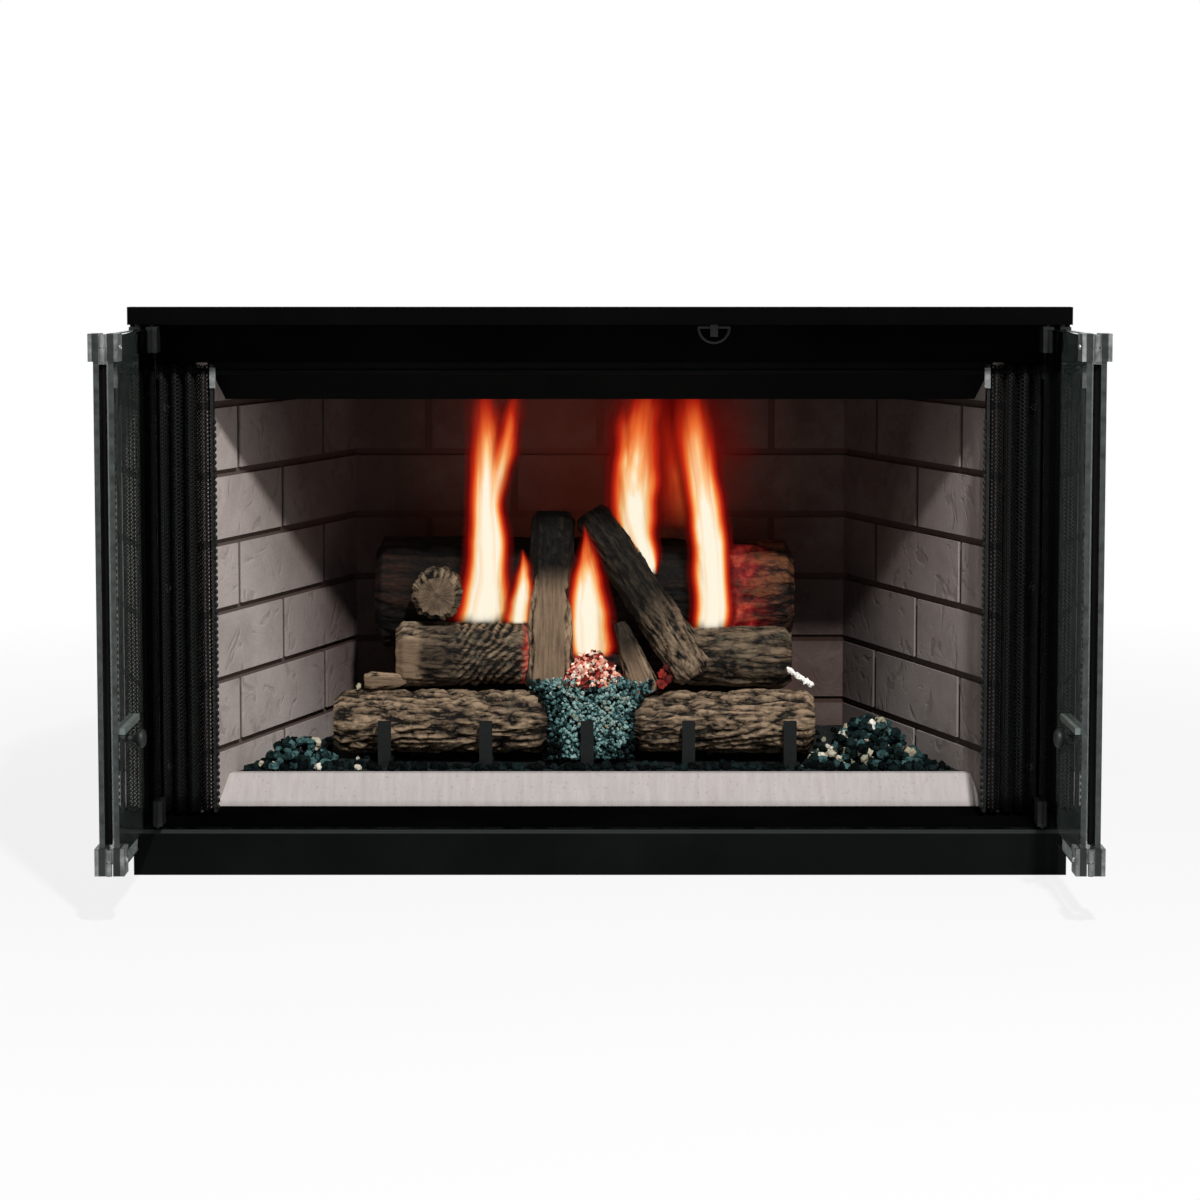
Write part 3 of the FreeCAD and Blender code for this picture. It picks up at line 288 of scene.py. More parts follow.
def refractory(name, wall, painted_shade_level=1.0):
    """Cast firebrick: mottled, pitted and gouged, dark mortar lines that also paint the shade in the grooves,
    soot towards the back and top deepened into painted shade, and painted firelight in the back wall's
    middle.
    """
    tree = new_tree(name, specular=0.15)
    x, y, z = (tree.axis(letter) for letter in "XYZ")
    across = tree.maths("ABSOLUTE", x)
    if wall == "side":
        out = tree.maths("SUBTRACT", across, MOUTH_HALF)
        run = tree.times(tree.maths("SUBTRACT", y, WALL_FRONT), WALL_SLOPE)
        depth = tree.maths("DIVIDE", tree.maths("ADD", out, run), WALL_SECANT)
        # Side walls: soot with painted shade over it, growing towards the back and the top, where the
        # lintel's shadow falls.
        climb = tree.maths("ADD", tree.span(y, WALL_FRONT, WALL_BACK), tree.span(z, 0.08, 0.5, 0.0, 0.55))
        soot_and_shade = tree.span(climb, 0.54, 1.04, 0.0, 0.84)
        soot_and_shade_colour = SOOT_AND_SHADE
    else:
        depth = tree.maths("SUBTRACT", y, WALL_BACK)
        # Back wall: soot and painted shade nearly all over.
        soot_and_shade = tree.span(across, 0.30, 0.12, 0.92, 0.96)
        # The back wall's middle takes the painted reddish firelight.
        soot_and_shade_colour = tree.mix(tree.span(across, 0.24, 0.06), SOOT_AND_SHADE, PAINTED_FIRELIGHT)
    grain = tree.noise(420, 3, 0.6)
    gouge = tree.noise(26, 3, 0.55, tree.stretch((1.0, 1.0, 0.8)), 1.6)
    brick = tree.ramp(tree.noise(14, 5, 0.62), (0.3, 164, 153, 148), (0.5, 183, 172, 167),
                      (0.72, 194, 184, 179))
    brick = tree.mix(tree.span(grain, 0.35, 0.7, 0.0, 0.3), brick, colour(146, 134, 129))
    groove = tree.span(gouge, 0.42, 0.34)
    brick = tree.mix(tree.times(groove, 0.35), brick, colour(124, 113, 109))
    # Dark joint colour, which also paints the shade down in the grooves.
    mortar_and_groove_shade = tree.span(depth, 0.8 * MM, 3.0 * MM)
    brick = tree.mix(mortar_and_groove_shade, brick, colour(96, 84, 79))
    # Soot and painted shade, broken up by noise.
    soot_and_shade_patches = tree.times(soot_and_shade, tree.span(tree.noise(9, 4, 0.6), 0.25, 0.6, 0.9, 1.03))
    base = tree.mix(soot_and_shade_patches, brick, soot_and_shade_colour)
    # Painted shade: the whole brick made darker for a wall that gets less light.
    base = tree.mix(1.0, base, (painted_shade_level, painted_shade_level, painted_shade_level, 1.0), "MULTIPLY")
    pits = tree.span(tree.cells(150), 0.0, 0.22)
    relief = tree.maths("ADD", tree.times(grain, 0.25), tree.times(pits, 0.2))
    relief = tree.maths("ADD", relief, tree.times(tree.span(gouge, 0.34, 0.46), 0.6))
    return tree.surface(base, (grain, 0.82, 0.95), (relief, 0.5, 2.0 * MM))


def pale_lip():
    """Clean cast refractory with faint streaks and a grey lower edge."""
    tree = new_tree("pale_lip", specular=0.15)
    streak = tree.noise(26, 4, 0.6, tree.stretch((6.0, 1.0, 1.0)))
    base = tree.ramp(streak, (0.3, 172, 164, 161), (0.7, 186, 179, 177))
    low = tree.span(tree.axis("Z"), 0.053, 0.047, 0.0, 0.45)
    base = tree.mix(low, base, colour(120, 112, 108))
    speck = tree.span(tree.noise(260, 3), 0.62, 0.72, 0.0, 0.5)
    base = tree.mix(speck, base, colour(140, 130, 126))
    return tree.surface(base, (streak, 0.75, 0.9), (tree.noise(320, 4), 0.25, 0.8 * MM))


def ash_slab():
    tree = new_tree("ash_slab", specular=0.1)
    ash = tree.noise(30, 5, 0.65)
    base = tree.ramp(ash, (0.3, 38, 36, 34), (0.7, 104, 98, 93))
    return tree.surface(base, (ash, 0.85, 0.97), (tree.noise(240, 4), 0.5, 1.2 * MM))


def smoked_glass():
    """Grey safety glass: clear smoky faces and dark ground edges."""
    tree = new_tree("smoked_glass", IOR=1.45)
    sideways = tree.maths("ABSOLUTE", tree.axis("X", tree.place("Normal")))
    face = tree.span(sideways, 0.4, 0.6)
    haze = tree.noise(16, 4, 0.6)
    tint = tree.ramp(haze, (0.3, 126, 134, 131), (0.7, 140, 148, 145))
    edge = tree.ramp(tree.noise(90, 2), (0.3, 20, 24, 24), (0.7, 54, 60, 59))
    tree.set("Transmission Weight", face)
    return tree.surface(tree.mix(face, edge, tint), (haze, 0.0, 0.015))


def screen_mesh():
    """Woven wire: two slanted families of wire, with holes between them."""
    tree = new_tree("screen_mesh", specular=0.2)
    pitch = 4.2 * MM
    wire_from = 0.5 - 0.22
    u, v = (tree.axis(letter, tree.place("UV")) for letter in "XY")
    families = []
    for operation in ("ADD", "SUBTRACT"):
        slant = tree.maths("DIVIDE", tree.maths(operation, u, v), pitch)
        away = tree.maths("ABSOLUTE", tree.maths("SUBTRACT", tree.maths("FRACT", slant), 0.5))
        families.append(tree.span(away, wire_from, wire_from + 0.06))
    solid = tree.maths("MAXIMUM", *families)
    tree.set("Alpha", solid)
    base = tree.ramp(tree.noise(130, 3), (0.3, 4, 5, 5), (0.7, 11, 12, 12))
    return tree.surface(base, (tree.noise(300, 2), 0.45, 0.65), (solid, 0.4, 0.5 * MM))


def pull_metal():
    tree = new_tree("pull_metal", Metallic=0.3)
    base = tree.ramp(tree.noise(50, 4), (0.3, 88, 98, 94), (0.7, 120, 130, 125))
    return tree.surface(base, (tree.noise(200, 2), 0.35, 0.55), (tree.noise(600, 2), 0.08, 0.2 * MM))


def grate_iron():
    tree = new_tree("grate_iron", specular=0.2)
    scale = tree.noise(160, 5, 0.65)
    base = tree.ramp(scale, (0.3, 8, 10, 10), (0.62, 20, 24, 23), (0.8, 48, 44, 40))
    return tree.surface(base, (scale, 0.55, 0.85), (scale, 0.5, 1.0 * MM))


def bark(name, furrow, middle, ridge):
    """Burnt bark: the mesh says where it is furrowed, split, charred and glowing; on some logs the charring
    also paints shade.
    """
    tree = new_tree(name, specular=0.15)
    grain_place = tree.place("UV")
    fine = tree.noise(150, 4, 0.65)
    plates = tree.stretch((0.2, 1.0, 1.0), tree.warp(grain_place, 70, 0.012))
    crack = tree.span(tree.cells(130, "Distance", plates, "DISTANCE_TO_EDGE"), 0.16, 0.03, 0.0, 0.34)
    crack = tree.times(crack, tree.maths("SUBTRACT", 1.0, tree.point("split")))
    relief = tree.maths("ADD", tree.point("relief"), tree.span(fine, 0.3, 0.7, -0.24, 0.24))
    relief = tree.maths("SUBTRACT", relief, crack)
    # Darker down in the furrows and in the cracks between plates: painted shade in the bark's hollows.
    base = tree.ramp(relief, (0.08, *furrow), (0.42, *middle), (0.9, *ridge))
    ash = tree.times(tree.span(tree.noise(42, 5, 0.7), 0.54, 0.66, 0.0, 0.6), tree.point("ash"))
    base = tree.mix(ash, base, colour(120, 112, 92))
    scorch = tree.span(tree.noise(30, 4, 0.6, tree.stretch((1.0, 1.0, 1.6))), 0.52, 0.68, 0.0, 0.6)
    base = tree.mix(tree.times(scorch, tree.point("ash")), base, colour(20, 22, 20))
    streak = tree.noise(26, 4, 0.6, tree.stretch((1.0, 9.0, 1.0), grain_place))
    split = tree.ramp(streak, (0.3, 88, 70, 56), (0.55, 120, 100, 80), (0.8, 136, 116, 94))
    base = tree.mix(tree.point("split"), base, split)
    char_and_shade = tree.times(tree.point("char_and_shade"), tree.span(fine, 0.25, 0.6, 0.9, 1.0))
    base = tree.mix(char_and_shade, base, colour(8, 8, 7))
    glow = tree.times(tree.point("glow"), tree.span(tree.noise(60, 4, 0.55), 0.34, 0.68, 0.1, 1.0))
    tree.embers(glow, 0.85, (0.1, 120, 16, 20), (0.5, 188, 44, 44), (0.9, 240, 110, 72))
    height = tree.maths("ADD", fine, tree.times(streak, tree.point("split")))
    return tree.surface(base, (fine, 0.75, 0.95), (tree.maths("SUBTRACT", height, crack), 0.8, 1.6 * MM))


def ember_stone():
    """Broken coal, cream ash, hot embers and a painted white glint, from each stone's own tone and glow."""
    tree = new_tree("ember_stone", specular=0.04)
    fine = tree.noise(260, 4, 0.65)
    tone = tree.maths("ADD", tree.point("tone"), tree.span(fine, 0.3, 0.7, -0.07, 0.07))
    # The white stop at 1 colours the row of stones that paints a glint.
    base = tree.ramp(tone, (0.02, 5, 8, 8), (0.25, 27, 42, 42), (0.44, 82, 118, 118), (0.62, 144, 176, 172),
                     (0.76, 146, 136, 112), (0.93, 198, 190, 168), (1.0, 244, 242, 236))
    glow = tree.times(tree.point("glow"), tree.span(fine, 0.25, 0.65, 0.35, 1.0))
    tree.embers(glow, 1.1, (0.1, 130, 16, 18), (0.5, 232, 74, 58), (0.9, 255, 190, 160))
    return tree.surface(base, (fine, 0.6, 0.9), (fine, 0.5, 0.8 * MM))


def ash_bed():
    tree = new_tree("ash_bed", specular=0.1)
    fine = tree.noise(180, 5, 0.65)
    base = tree.ramp(fine, (0.3, 10, 13, 13), (0.6, 34, 42, 41), (0.8, 92, 88, 80))
    return tree.surface(base, (fine, 0.8, 0.95), (fine, 0.7, 2.0 * MM))


def flame(name, thin, hottest, kindle):
    """Fire: white-yellow in the core, red and clear towards the rim and the tip."""
    tree = new_tree(name)
    rise = tree.point("rise")
    profiles = []
    for key in ("across", "cooled"):
        away = tree.point(key)
        profiles.append(tree.maths("SUBTRACT", 1.0, tree.times(away, away)))
    core = tree.maths("POWER", profiles[1], 2.8)
    lick = tree.noise(22, 3, 0.5, tree.stretch((1.6, 1.6, 0.35)), 0.6)
    cooling = tree.span(rise, 0.35, 1.0, hottest, 0.14 * hottest)
    heat = tree.times(tree.times(core, cooling), tree.span(lick, 0.3, 0.62, 0.62, 1.12))
    light = tree.ramp(heat, (0.08, 104, 8, 8), (0.28, 206, 42, 20), (0.46, 246, 122, 54),
                      (0.64, 255, 206, 136), (0.82, 255, 246, 224))
    glow = tree.add("Emission", 0, {"Color": light})
    fade = tree.times(tree.span(rise, 0.0, kindle), tree.span(rise, 0.6, 1.0, 1.0, 0.0))
    soft = tree.span(profiles[0], 0.05, 0.75)
    cover = tree.times(tree.times(soft, fade), tree.span(lick, 0.28, 0.55, 0.4, 1.0))
    tree.blend(tree.times(cover, thin), glow)
    tree.nodes.remove(tree.shader)
    return tree.owner


BLACK_DARK = (7, 8, 8)
BLACK_LIGHT = (14, 15, 15)
# Worn edges, and the painted highlight lines on the hearth plate and kick panel, share this colour.
EDGE_WEAR_AND_HIGHLIGHT = (50, 52, 52)
BLACK_GLOSS = 0.03
TOP_BLACK = painted_steel("top_steel", (3, 3, 3), (7, 7, 7), (22, 23, 23), 0.01)
BLACK = painted_steel("black_steel", BLACK_DARK, BLACK_LIGHT, (46, 48, 48), BLACK_GLOSS)
# Painted highlight lines along the hearth plate's front edge and the kick panel's top edge.
PLATE_BLACK = painted_steel("plate_steel", (3, 3, 3), (8, 8, 8), EDGE_WEAR_AND_HIGHLIGHT, 0.0, ("Y", -0.2450, -0.2460))
KICK_BLACK = painted_steel("kick_steel", BLACK_DARK, BLACK_LIGHT, EDGE_WEAR_AND_HIGHLIGHT, BLACK_GLOSS,
                           ("Z", 0.0425, 0.0440))
DARK_PULL = painted_steel("dark_pull", (16, 17, 17), (30, 31, 31), (84, 86, 86), 0.3)
SEAL_RUBBER = painted_steel("seal_rubber", (6, 6, 6), (13, 13, 13), (24, 24, 24), 0.03)
GALVANISED = galvanised_steel()
BRIGHT = bright_steel()
IRON = grate_iron()
MESH = screen_mesh()
FRONT_BARK = bark("front_bark", (15, 12, 9), (96, 80, 64), (150, 128, 104))
DARK_BARK = bark("dark_bark", (12, 10, 9), (46, 38, 31), (92, 76, 60))
RUST_BARK = bark("rust_bark", (10, 7, 7), (56, 34, 24), (98, 60, 38))
STONE = ember_stone()
FLAME = flame("flame", 0.85, 1.22, 0.05)
TONGUE = flame("flame_tongue", 0.5, 0.66, 0.5)
HAZE = flame("flame_haze", 0.24, 0.32, 0.6)


def sided(*names):
    return [name + "_" + word for name in names for word, _ in SIDES]


NODE_FINISH = {
    TOP_BLACK: ("top_track", "lintel_panel"),
    BLACK: (*sided("jamb"), "smoke_shield", "refractory_retainers", "rod_brackets", "screen_rod"),
    PLATE_BLACK: ("hearth_plate",),
    KICK_BLACK: ("kick_panel",),
    DARK_PULL: ("damper_rod", "damper_ring", "damper_plate"),
    GALVANISED: ("base_pan", "hearth_supports", "casing_wrap", "casing_top", "flue_collar",
                 "firebox_shell", "throat_plate", "damper_bearings"),
    BRIGHT: ("retainer_screws", "damper_shaft", *sided("hinge_pins")),
    clip_steel(): sided("clips_outer", "clips_inner"),
    IRON: ("grate_bars", "grate_rails", "grate_feet"),
    screen_bar_steel(): sided("screen_bar"),
    smoked_glass(): sided("glass_outer", "glass_inner"),
    pull_metal(): sided("door_pull"),
    refractory("left_brick", "side"): ("refractory_left",),
    # The right wall's brick is a darker copy: painted shade.
    refractory("right_brick", "side", 0.64): ("refractory_right",),
    refractory("back_brick", "back"): ("refractory_back",),
    pale_lip(): ("hearth_lip",),
    ash_slab(): ("hearth_slab",),
}
for finish, names in NODE_FINISH.items():
    for node_name in names:
        nodes[node_name].data.materials.clear()
        nodes[node_name].data.materials.append(finish)


# Pieces

def mesh_piece(name, points, faces, material, body=ROOT, values=None, wrap=None, soft=True):
    """A mesh object that rides on a body, with values per point and places on its wrap per corner."""
    mesh = bpy.data.meshes.new(name)
    mesh.from_pydata(points, [], faces)
    for key, numbers in (values or {}).items():
        mesh.attributes.new(key, "FLOAT", "POINT").data.foreach_set("value", numbers)
    if wrap:
        layer = mesh.uv_layers.new(name="wrap")
        layer.data.foreach_set("uv", [number for spot in wrap for number in spot])
    mesh.polygons.foreach_set("use_smooth", [soft] * len(mesh.polygons))
    mesh.materials.append(material)
    piece = bpy.data.objects.new(name, mesh)
    scene.collection.objects.link(piece)
    if body:
        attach(piece, body)
    return piece


def circle(count):
    """The cosine and sine of evenly spaced turns."""
    angles = [math.tau * j / count for j in range(count)]
    return [(math.cos(angle), math.sin(angle)) for angle in angles]


def grid(rows, columns, first=0, closed=False):
    """Faces between neighbouring rows of points, whose ends meet where they are closed."""
    wide = columns if closed else columns + 1
    faces = []
    for i in range(rows):
        low = first + i * wide
        for j in range(columns):
            k = (j + 1) % wide
            faces.append((low + j, low + k, low + wide + k, low + wide + j))
    return faces


def grid_wrap(rows, columns, place):
    """The wrap of a grid's faces, from the place of a row and column."""
    corners = ((0, 0), (0, 1), (1, 1), (1, 0))
    return [place(i + di, j + dj) for i in range(rows) for j in range(columns) for di, dj in corners]


def tube(rings, around, first=0):
    """Faces that join rings of points in turn and close both ends."""
    last = first + (rings - 1) * around
    ends = [tuple(range(first + around - 1, first - 1, -1)), tuple(range(last, last + around))]
    return grid(rings - 1, around, first, True) + ends


# Logs

FRONT = Vector((0, -1, 0))
LOG_ROW = 2.2 * MM
LOG_COLUMN = 2.4 * MM
CAP_RINGS = (0.93, 0.8, 0.62, 0.42, 0.2)
STRIPE_PITCH = 9.5 * MM
STRIPE_LEAN = 0.8
STRIPE_WAVER = 7 * MM
FURROW_STRETCH = 4.8
FLAT_AT = 0.8
FLAT_BLUR = 0.06
END_ROUND = 9 * MM
CUT_ROUGH = 2.0 * MM


def bark_height(spot, grain, seed):
    """0 at the bottom of a furrow and 1 on a plate of bark; the furrows run along Z."""
    place = Vector((spot.x / grain, spot.y / grain, spot.z / (FURROW_STRETCH * grain)))
    place += Vector((7.3, 3.9, 1.7)) * seed
    bend = noise.noise(place * 0.35) * 1.4
    main = abs(noise.noise(place + Vector((bend, -bend, bend))))
    fine = abs(noise.noise(place * 2.6))
    return 0.72 * min(main * 3.2, 1.0) + 0.28 * min(fine * 2.6, 1.0)


def nowhere(share, facing=0.0):
    return 0.0


def log_piece(name, material, seed, start, turn, size, grain=0.011, depth=5.0, split=nowhere, char_and_shade=nowhere,
              ash=0.3, glow=nowhere, stripe=nowhere, cut=1.0):
    """A log from its start, yaw and pitch, and length and end radii, in millimetres and degrees.

    It is split, charred, ashen, glowing or striped along a share of its length; on some logs the charring is
    deepened as painted shade.
    """
    yaw, pitch = (math.radians(angle) for angle in turn)
    level = math.cos(pitch)
    along = Vector((level * math.cos(yaw), level * math.sin(yaw), math.sin(pitch)))
    side = along.cross(Vector((0, 0, 1))).normalized()
    up = side.cross(along)
    start = Vector(start) * MM
    length, thick, thin = (number * MM for number in size)
    columns = max(48, int(math.tau * thick / LOG_COLUMN))
    rows = max(30, int(length / LOG_ROW))
    radials = [side * cosine + up * sine for cosine, sine in circle(columns)]
    rings = [(0.0, shrink, 1.0) for shrink in reversed(CAP_RINGS)]
    rings += [(i / rows, 1.0, 0.0) for i in range(rows + 1)]
    rings += [(1.0, shrink, 1.0) for shrink in CAP_RINGS]
    points = []
    values = {key: [] for key in ("relief", "split", "char_and_shade", "ash", "glow")}
    for share, shrink, is_cut in rings:
        radius = thick + (thin - thick) * share
        opened = split(share)
        run = share * length
        ends = min(share, 1 - share) * length
        rounding = 1 - 0.22 * (1 - smooth(0.0, END_ROUND, ends))
        cut_ring = 0.75 + 0.25 * math.sin(shrink * 40) if is_cut else 1.0
        for radial in radials:
            facing = radial.dot(FRONT)
            flat = 1.0
            if opened > 0 and facing > FLAT_AT:
                flat = 1.0 - opened * (1.0 - FLAT_AT / facing)
            is_split = max(is_cut * cut, opened * smooth(FLAT_AT - FLAT_BLUR, FLAT_AT + FLAT_BLUR, facing))
            spot = Vector((radial.dot(side), radial.dot(up), 0)) * radius * shrink + Vector((0, 0, run))
            height = bark_height(spot, grain, seed)
            waver = STRIPE_WAVER * noise.noise(spot * 40)
            phase = (run + waver - STRIPE_LEAN * spot.y) / STRIPE_PITCH
            ridge = 0.5 + 0.5 * math.sin(math.tau * phase)
            height += (ridge * (0.55 + 0.45 * height) - height) * stripe(share)
            height += (1 - height) * 0.85 * is_split
            swell = 1 - 0.05 * (0.5 + 0.5 * noise.noise(spot * 22 + Vector((seed, 0, 0))))
            reach = (radius * flat * swell - depth * MM * (1 - height)) * rounding * shrink
            push = noise.noise(spot * 60 + Vector((seed * 5.0, 0, 0))) * CUT_ROUGH * is_cut
            points.append(start + along * (run + push) + radial * reach)
            looks = (height * cut_ring, is_split, char_and_shade(share), ash, glow(share, facing))
            for key, value in zip(values, looks):
                values[key].append(value)
    wrap = grid_wrap(len(rings) - 1, columns, lambda i, j: (i * LOG_ROW, j * LOG_COLUMN))
    wrap += [(0.0, j * LOG_COLUMN) for j in range(2 * columns)]
    return mesh_piece(name, points, tube(len(rings), columns), material, values=values, wrap=wrap)


FRONT_LOOKS = dict(grain=0.0085, depth=6.5, ash=0.4, char_and_shade=lambda t: 0.6 * smooth(0.92, 1.0, t))
# Each log: its bark, start across, behind the fingers and above the bars, turn, size and looks
LOGS = {
    "front_log_left": (FRONT_BARK, (-294, 49.3, 37.3), (0, 0), (236, 37, 36), FRONT_LOOKS),
    "front_log_right": (FRONT_BARK, (237, 49.3, 37.3), (180, 0), (199, 37, 35), FRONT_LOOKS),
    "base_log": (DARK_BARK, (-205, 140, 52.3), (0, 0), (390, 52, 50), dict(char_and_shade=lambda t: 0.8)),
    # The back log's charring is deepened to paint the shade that falls on it.
    "back_log": (RUST_BARK, (-255, 159.5, 168), (0, 0), (475, 66, 62),
                 dict(grain=0.014, ash=0.1,
                      char_and_shade=lambda t: (0.86 + 0.12 * smooth(0.04, 0.12, t)) * smooth(0.94, 0.82, t),
                      glow=lambda t, facing: 0.75 * smooth(0.79, 0.85, t) * smooth(0.97, 0.88, t)
                      * smooth(0.1, 0.7, facing))),
    "left_log": (FRONT_BARK, (-228, 70.2, 109.2), (4, 0), (150, 38, 37),
                 dict(grain=0.008, depth=4.5, ash=1.0, split=lambda t: smooth(0.22, 0.12, t),
                      stripe=lambda t: 0.75 * smooth(0.38, 0.5, t) * smooth(1.0, 0.85, t),
                      char_and_shade=lambda t: smooth(0.14, 0.22, t) * (0.25 + 0.4 * smooth(0.5, 0.4, t)),
                      glow=lambda t, facing: smooth(0.9, 0.98, t) * smooth(-0.2, 0.4, facing))),
    "right_log": (FRONT_BARK, (214, 71.3, 105.7), (176, 0), (124, 36, 34),
                  dict(grain=0.014, depth=4.5, ash=1.0, char_and_shade=lambda t: 0.48)),
    "cross_log": (FRONT_BARK, (-181, 49.5, 177), (90, 0), (60, 31, 29),
                  dict(grain=0.012, depth=4.0, ash=1.0, cut=0.5,
                       char_and_shade=lambda t: 0.25 + 0.3 * smooth(0.2, 0.6, t))),
    # The upright log's upper part: charring deepened as painted shade.
    "upright_log": (FRONT_BARK, (-57, 62, 71), (82, 80), (198, 31, 25),
                    dict(depth=3.0, split=lambda t: smooth(0.74, 0.62, t),
                         char_and_shade=lambda t: smooth(0.5, 0.7, t))),
    "leaning_log": (FRONT_BARK, (108, 58, 87), (163, 55), (218, 27, 23),
                    dict(grain=0.007, depth=3.5, ash=0.7, char_and_shade=lambda t: 0.25 + 0.7 * smooth(0.2, 0.5, t))),
}
for seed, (log_name, (finish, start, turn, size, looks)) in enumerate(LOGS.items(), 1):
    across, back, above = start
    grate_start = (across, FINGER_Y / MM + back, BAR_TOP / MM + above)
    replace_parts(log_piece("bark_" + log_name, finish, seed, grate_start, turn, size, **looks), log_name)
log_piece("split_chunk", FRONT_BARK, 12, (50, -13, 148), (170, 70), (84, 21, 8), grain=0.008, depth=2.5,
          split=lambda t: 1.0, char_and_shade=lambda t: 0.9 * smooth(0.3, 0.75, t))
log_piece("split_wedge", FRONT_BARK, 13, (-261, -15, 163), (4, 0), (46, 11, 8), grain=0.008, depth=2.0,
          split=lambda t: 1.0)


# Embers: many broken stones over a lumpy bed

def stone_form():
    ball = bmesh.new()
    bmesh.ops.create_icosphere(ball, subdivisions=2, radius=1.0)
    points = [vertex.co.copy() for vertex in ball.verts]
    faces = [tuple(vertex.index for vertex in face.verts) for face in ball.faces]
    ball.free()
    return points, faces


STONE_POINTS, STONE_FACES = stone_form()
SINK = 0.35
BED_COLUMNS = 120
BED_ROWS = 50
HEAP_SIZE = (3.5 * MM, 7.0 * MM)
# Each band of the strip: count, reach back from and to, distance from the walls, least and most radius
COAL_BANDS = ((430, 5, 36, 10, (3.5, 6.5)), (300, 36, 268, 12, (3.0, 4.6)))


def stone_faces(first):
    return [tuple(first + i for i in face) for face in STONE_FACES]


def stone_pile(name, stones, draw):
    """One mesh of separate stones, each given as its middle, radius, tone and glow."""
    points = []
    faces = []
    values = {"tone": [], "glow": []}
    for middle, radius, tone, glow in stones:
        faces += stone_faces(len(points))
        spin = Matrix.Rotation(draw.uniform(0, 6.28), 3, Vector((draw.gauss(0, 1), draw.gauss(0, 1), 1)))
        shape = Vector((draw.uniform(0.85, 1.15), draw.uniform(0.7, 1.0), draw.uniform(0.6, 0.9)))
        shift = Vector((draw.uniform(0, 50), 0, 0))
        for point in STONE_POINTS:
            rough = 1.0 + 0.55 * noise.noise(point * 1.6 + shift)
            local = Vector(p * s for p, s in zip(point, shape)) * rough * radius
            points.append(middle + spin @ local)
            values["tone"].append(tone)
            values["glow"].append(glow)
    return mesh_piece(name, points, faces, STONE, values=values, soft=False)


def bed_top(x, y):
    """The bed is hollowed under the grate."""
    soft = 5 * MM
    inside = smooth(POCKET_LEFT, POCKET_LEFT + soft, x) * smooth(POCKET_RIGHT, POCKET_RIGHT - soft, x)
    return BED_TOP + (POCKET_FLOOR - BED_TOP) * inside * smooth(POCKET_FRONT, POCKET_FRONT + soft, y)


def coal_tone(draw, x, darkest, lightest):
    """Pale cinders lie mostly beside the right end of the logs, and a few at the far left."""
    pale = 0.01 + 0.28 * smooth(0.2, 0.23, x) * smooth(0.33, 0.28, x) + 0.05 * smooth(-0.28, -0.32, x)
    return draw.uniform(0.7, 0.98) if draw.random() < pale else draw.uniform(darkest, lightest)


def heap_stones(draw, middle, foot, crown, height, count):
    """Stones on the surface of a round heap."""
    stones = []
    for _ in range(count):
        rise = draw.random() ** 1.4
        reach = (foot + (crown - foot) * rise) * math.sqrt(draw.uniform(0.15, 1.0))
        angle = draw.uniform(0, math.tau)
        lift = height * min(rise, (foot - reach) / (foot - crown))
        radius = draw.uniform(*HEAP_SIZE)
        z = BED_TOP + max(lift, 0.0) + SINK * radius
        spot = Vector((middle[0] + reach * math.cos(angle), middle[1] + reach * math.sin(angle), z))
        stones.append((spot, radius, coal_tone(draw, spot.x, 0.0, 0.38), 0.0))
    return stones


def make_embers():
    draw = random.Random(41)
    low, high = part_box("ember_bed")
    points = []
    for is_top in (False, True):
        for i in range(BED_ROWS + 1):
            y = low.y + (high.y - low.y) * i / BED_ROWS
            half = wall_half(y) - 2.2 * MM
            for j in range(BED_COLUMNS + 1):
                x = -half + 2 * half * j / BED_COLUMNS
                lump = noise.noise(Vector((x, y, 0.0)) * 70) + 0.5 * noise.noise(Vector((x, y, 3.0)) * 190)
                z = bed_top(x, y) + 1.3 * MM * lump - 0.5 * MM if is_top else low.z + 0.3 * MM
                points.append((x, y, z))
    wide = BED_COLUMNS + 1
    layer_size = wide * (BED_ROWS + 1)
    faces = []
    for face in grid(BED_ROWS, BED_COLUMNS):
        faces.append(tuple(reversed(face)))
        faces.append(tuple(layer_size + k for k in face))
    rim = list(range(wide))
    rim += [i * wide + BED_COLUMNS for i in range(1, BED_ROWS + 1)]
    rim += [BED_ROWS * wide + j for j in range(BED_COLUMNS - 1, -1, -1)]
    rim += [i * wide for i in range(BED_ROWS - 1, 0, -1)]
    for here, there in zip(rim, rim[1:] + rim[:1]):
        faces.append((here, there, layer_size + there, layer_size + here))
    bed = mesh_piece("ash_layer", points, faces, ash_bed())
    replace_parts(bed, "ember_bed")

    strip = []
    for count, front, back, margin, size in COAL_BANDS:
        for _ in range(count):
            y = low.y + draw.uniform(front, back) * MM
            half = wall_half(y) - margin * MM
            x = draw.uniform(-half, half)
            radius = draw.uniform(*size) * MM
            spot = Vector((x, y, bed_top(x, y) + SINK * radius))
            strip.append((spot, radius, coal_tone(draw, x, -0.1, 0.16), 0.0))
    stone_pile("coal_strip", strip, draw)

    left = heap_stones(draw, (-0.331, -0.0535), 0.046, 0.012, 0.026, 110)
    right = heap_stones(draw, (0.298, -0.0355), 0.064, 0.016, 0.044, 320)
    heaps = stone_pile("coal_heaps", left + right, draw)
    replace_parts(heaps, "ember_heaps")


PILE_MIDDLE = -0.010
PILE_HALF = 0.047
PILE_SPILL = 0.021
PILE_TOP = 0.164
PILE_FRONT = -0.053
PILE_LEAN = 0.02
DOME_Y = -0.014
DOME_RADIUS = 0.034
DOME_HEIGHT = 34 * MM
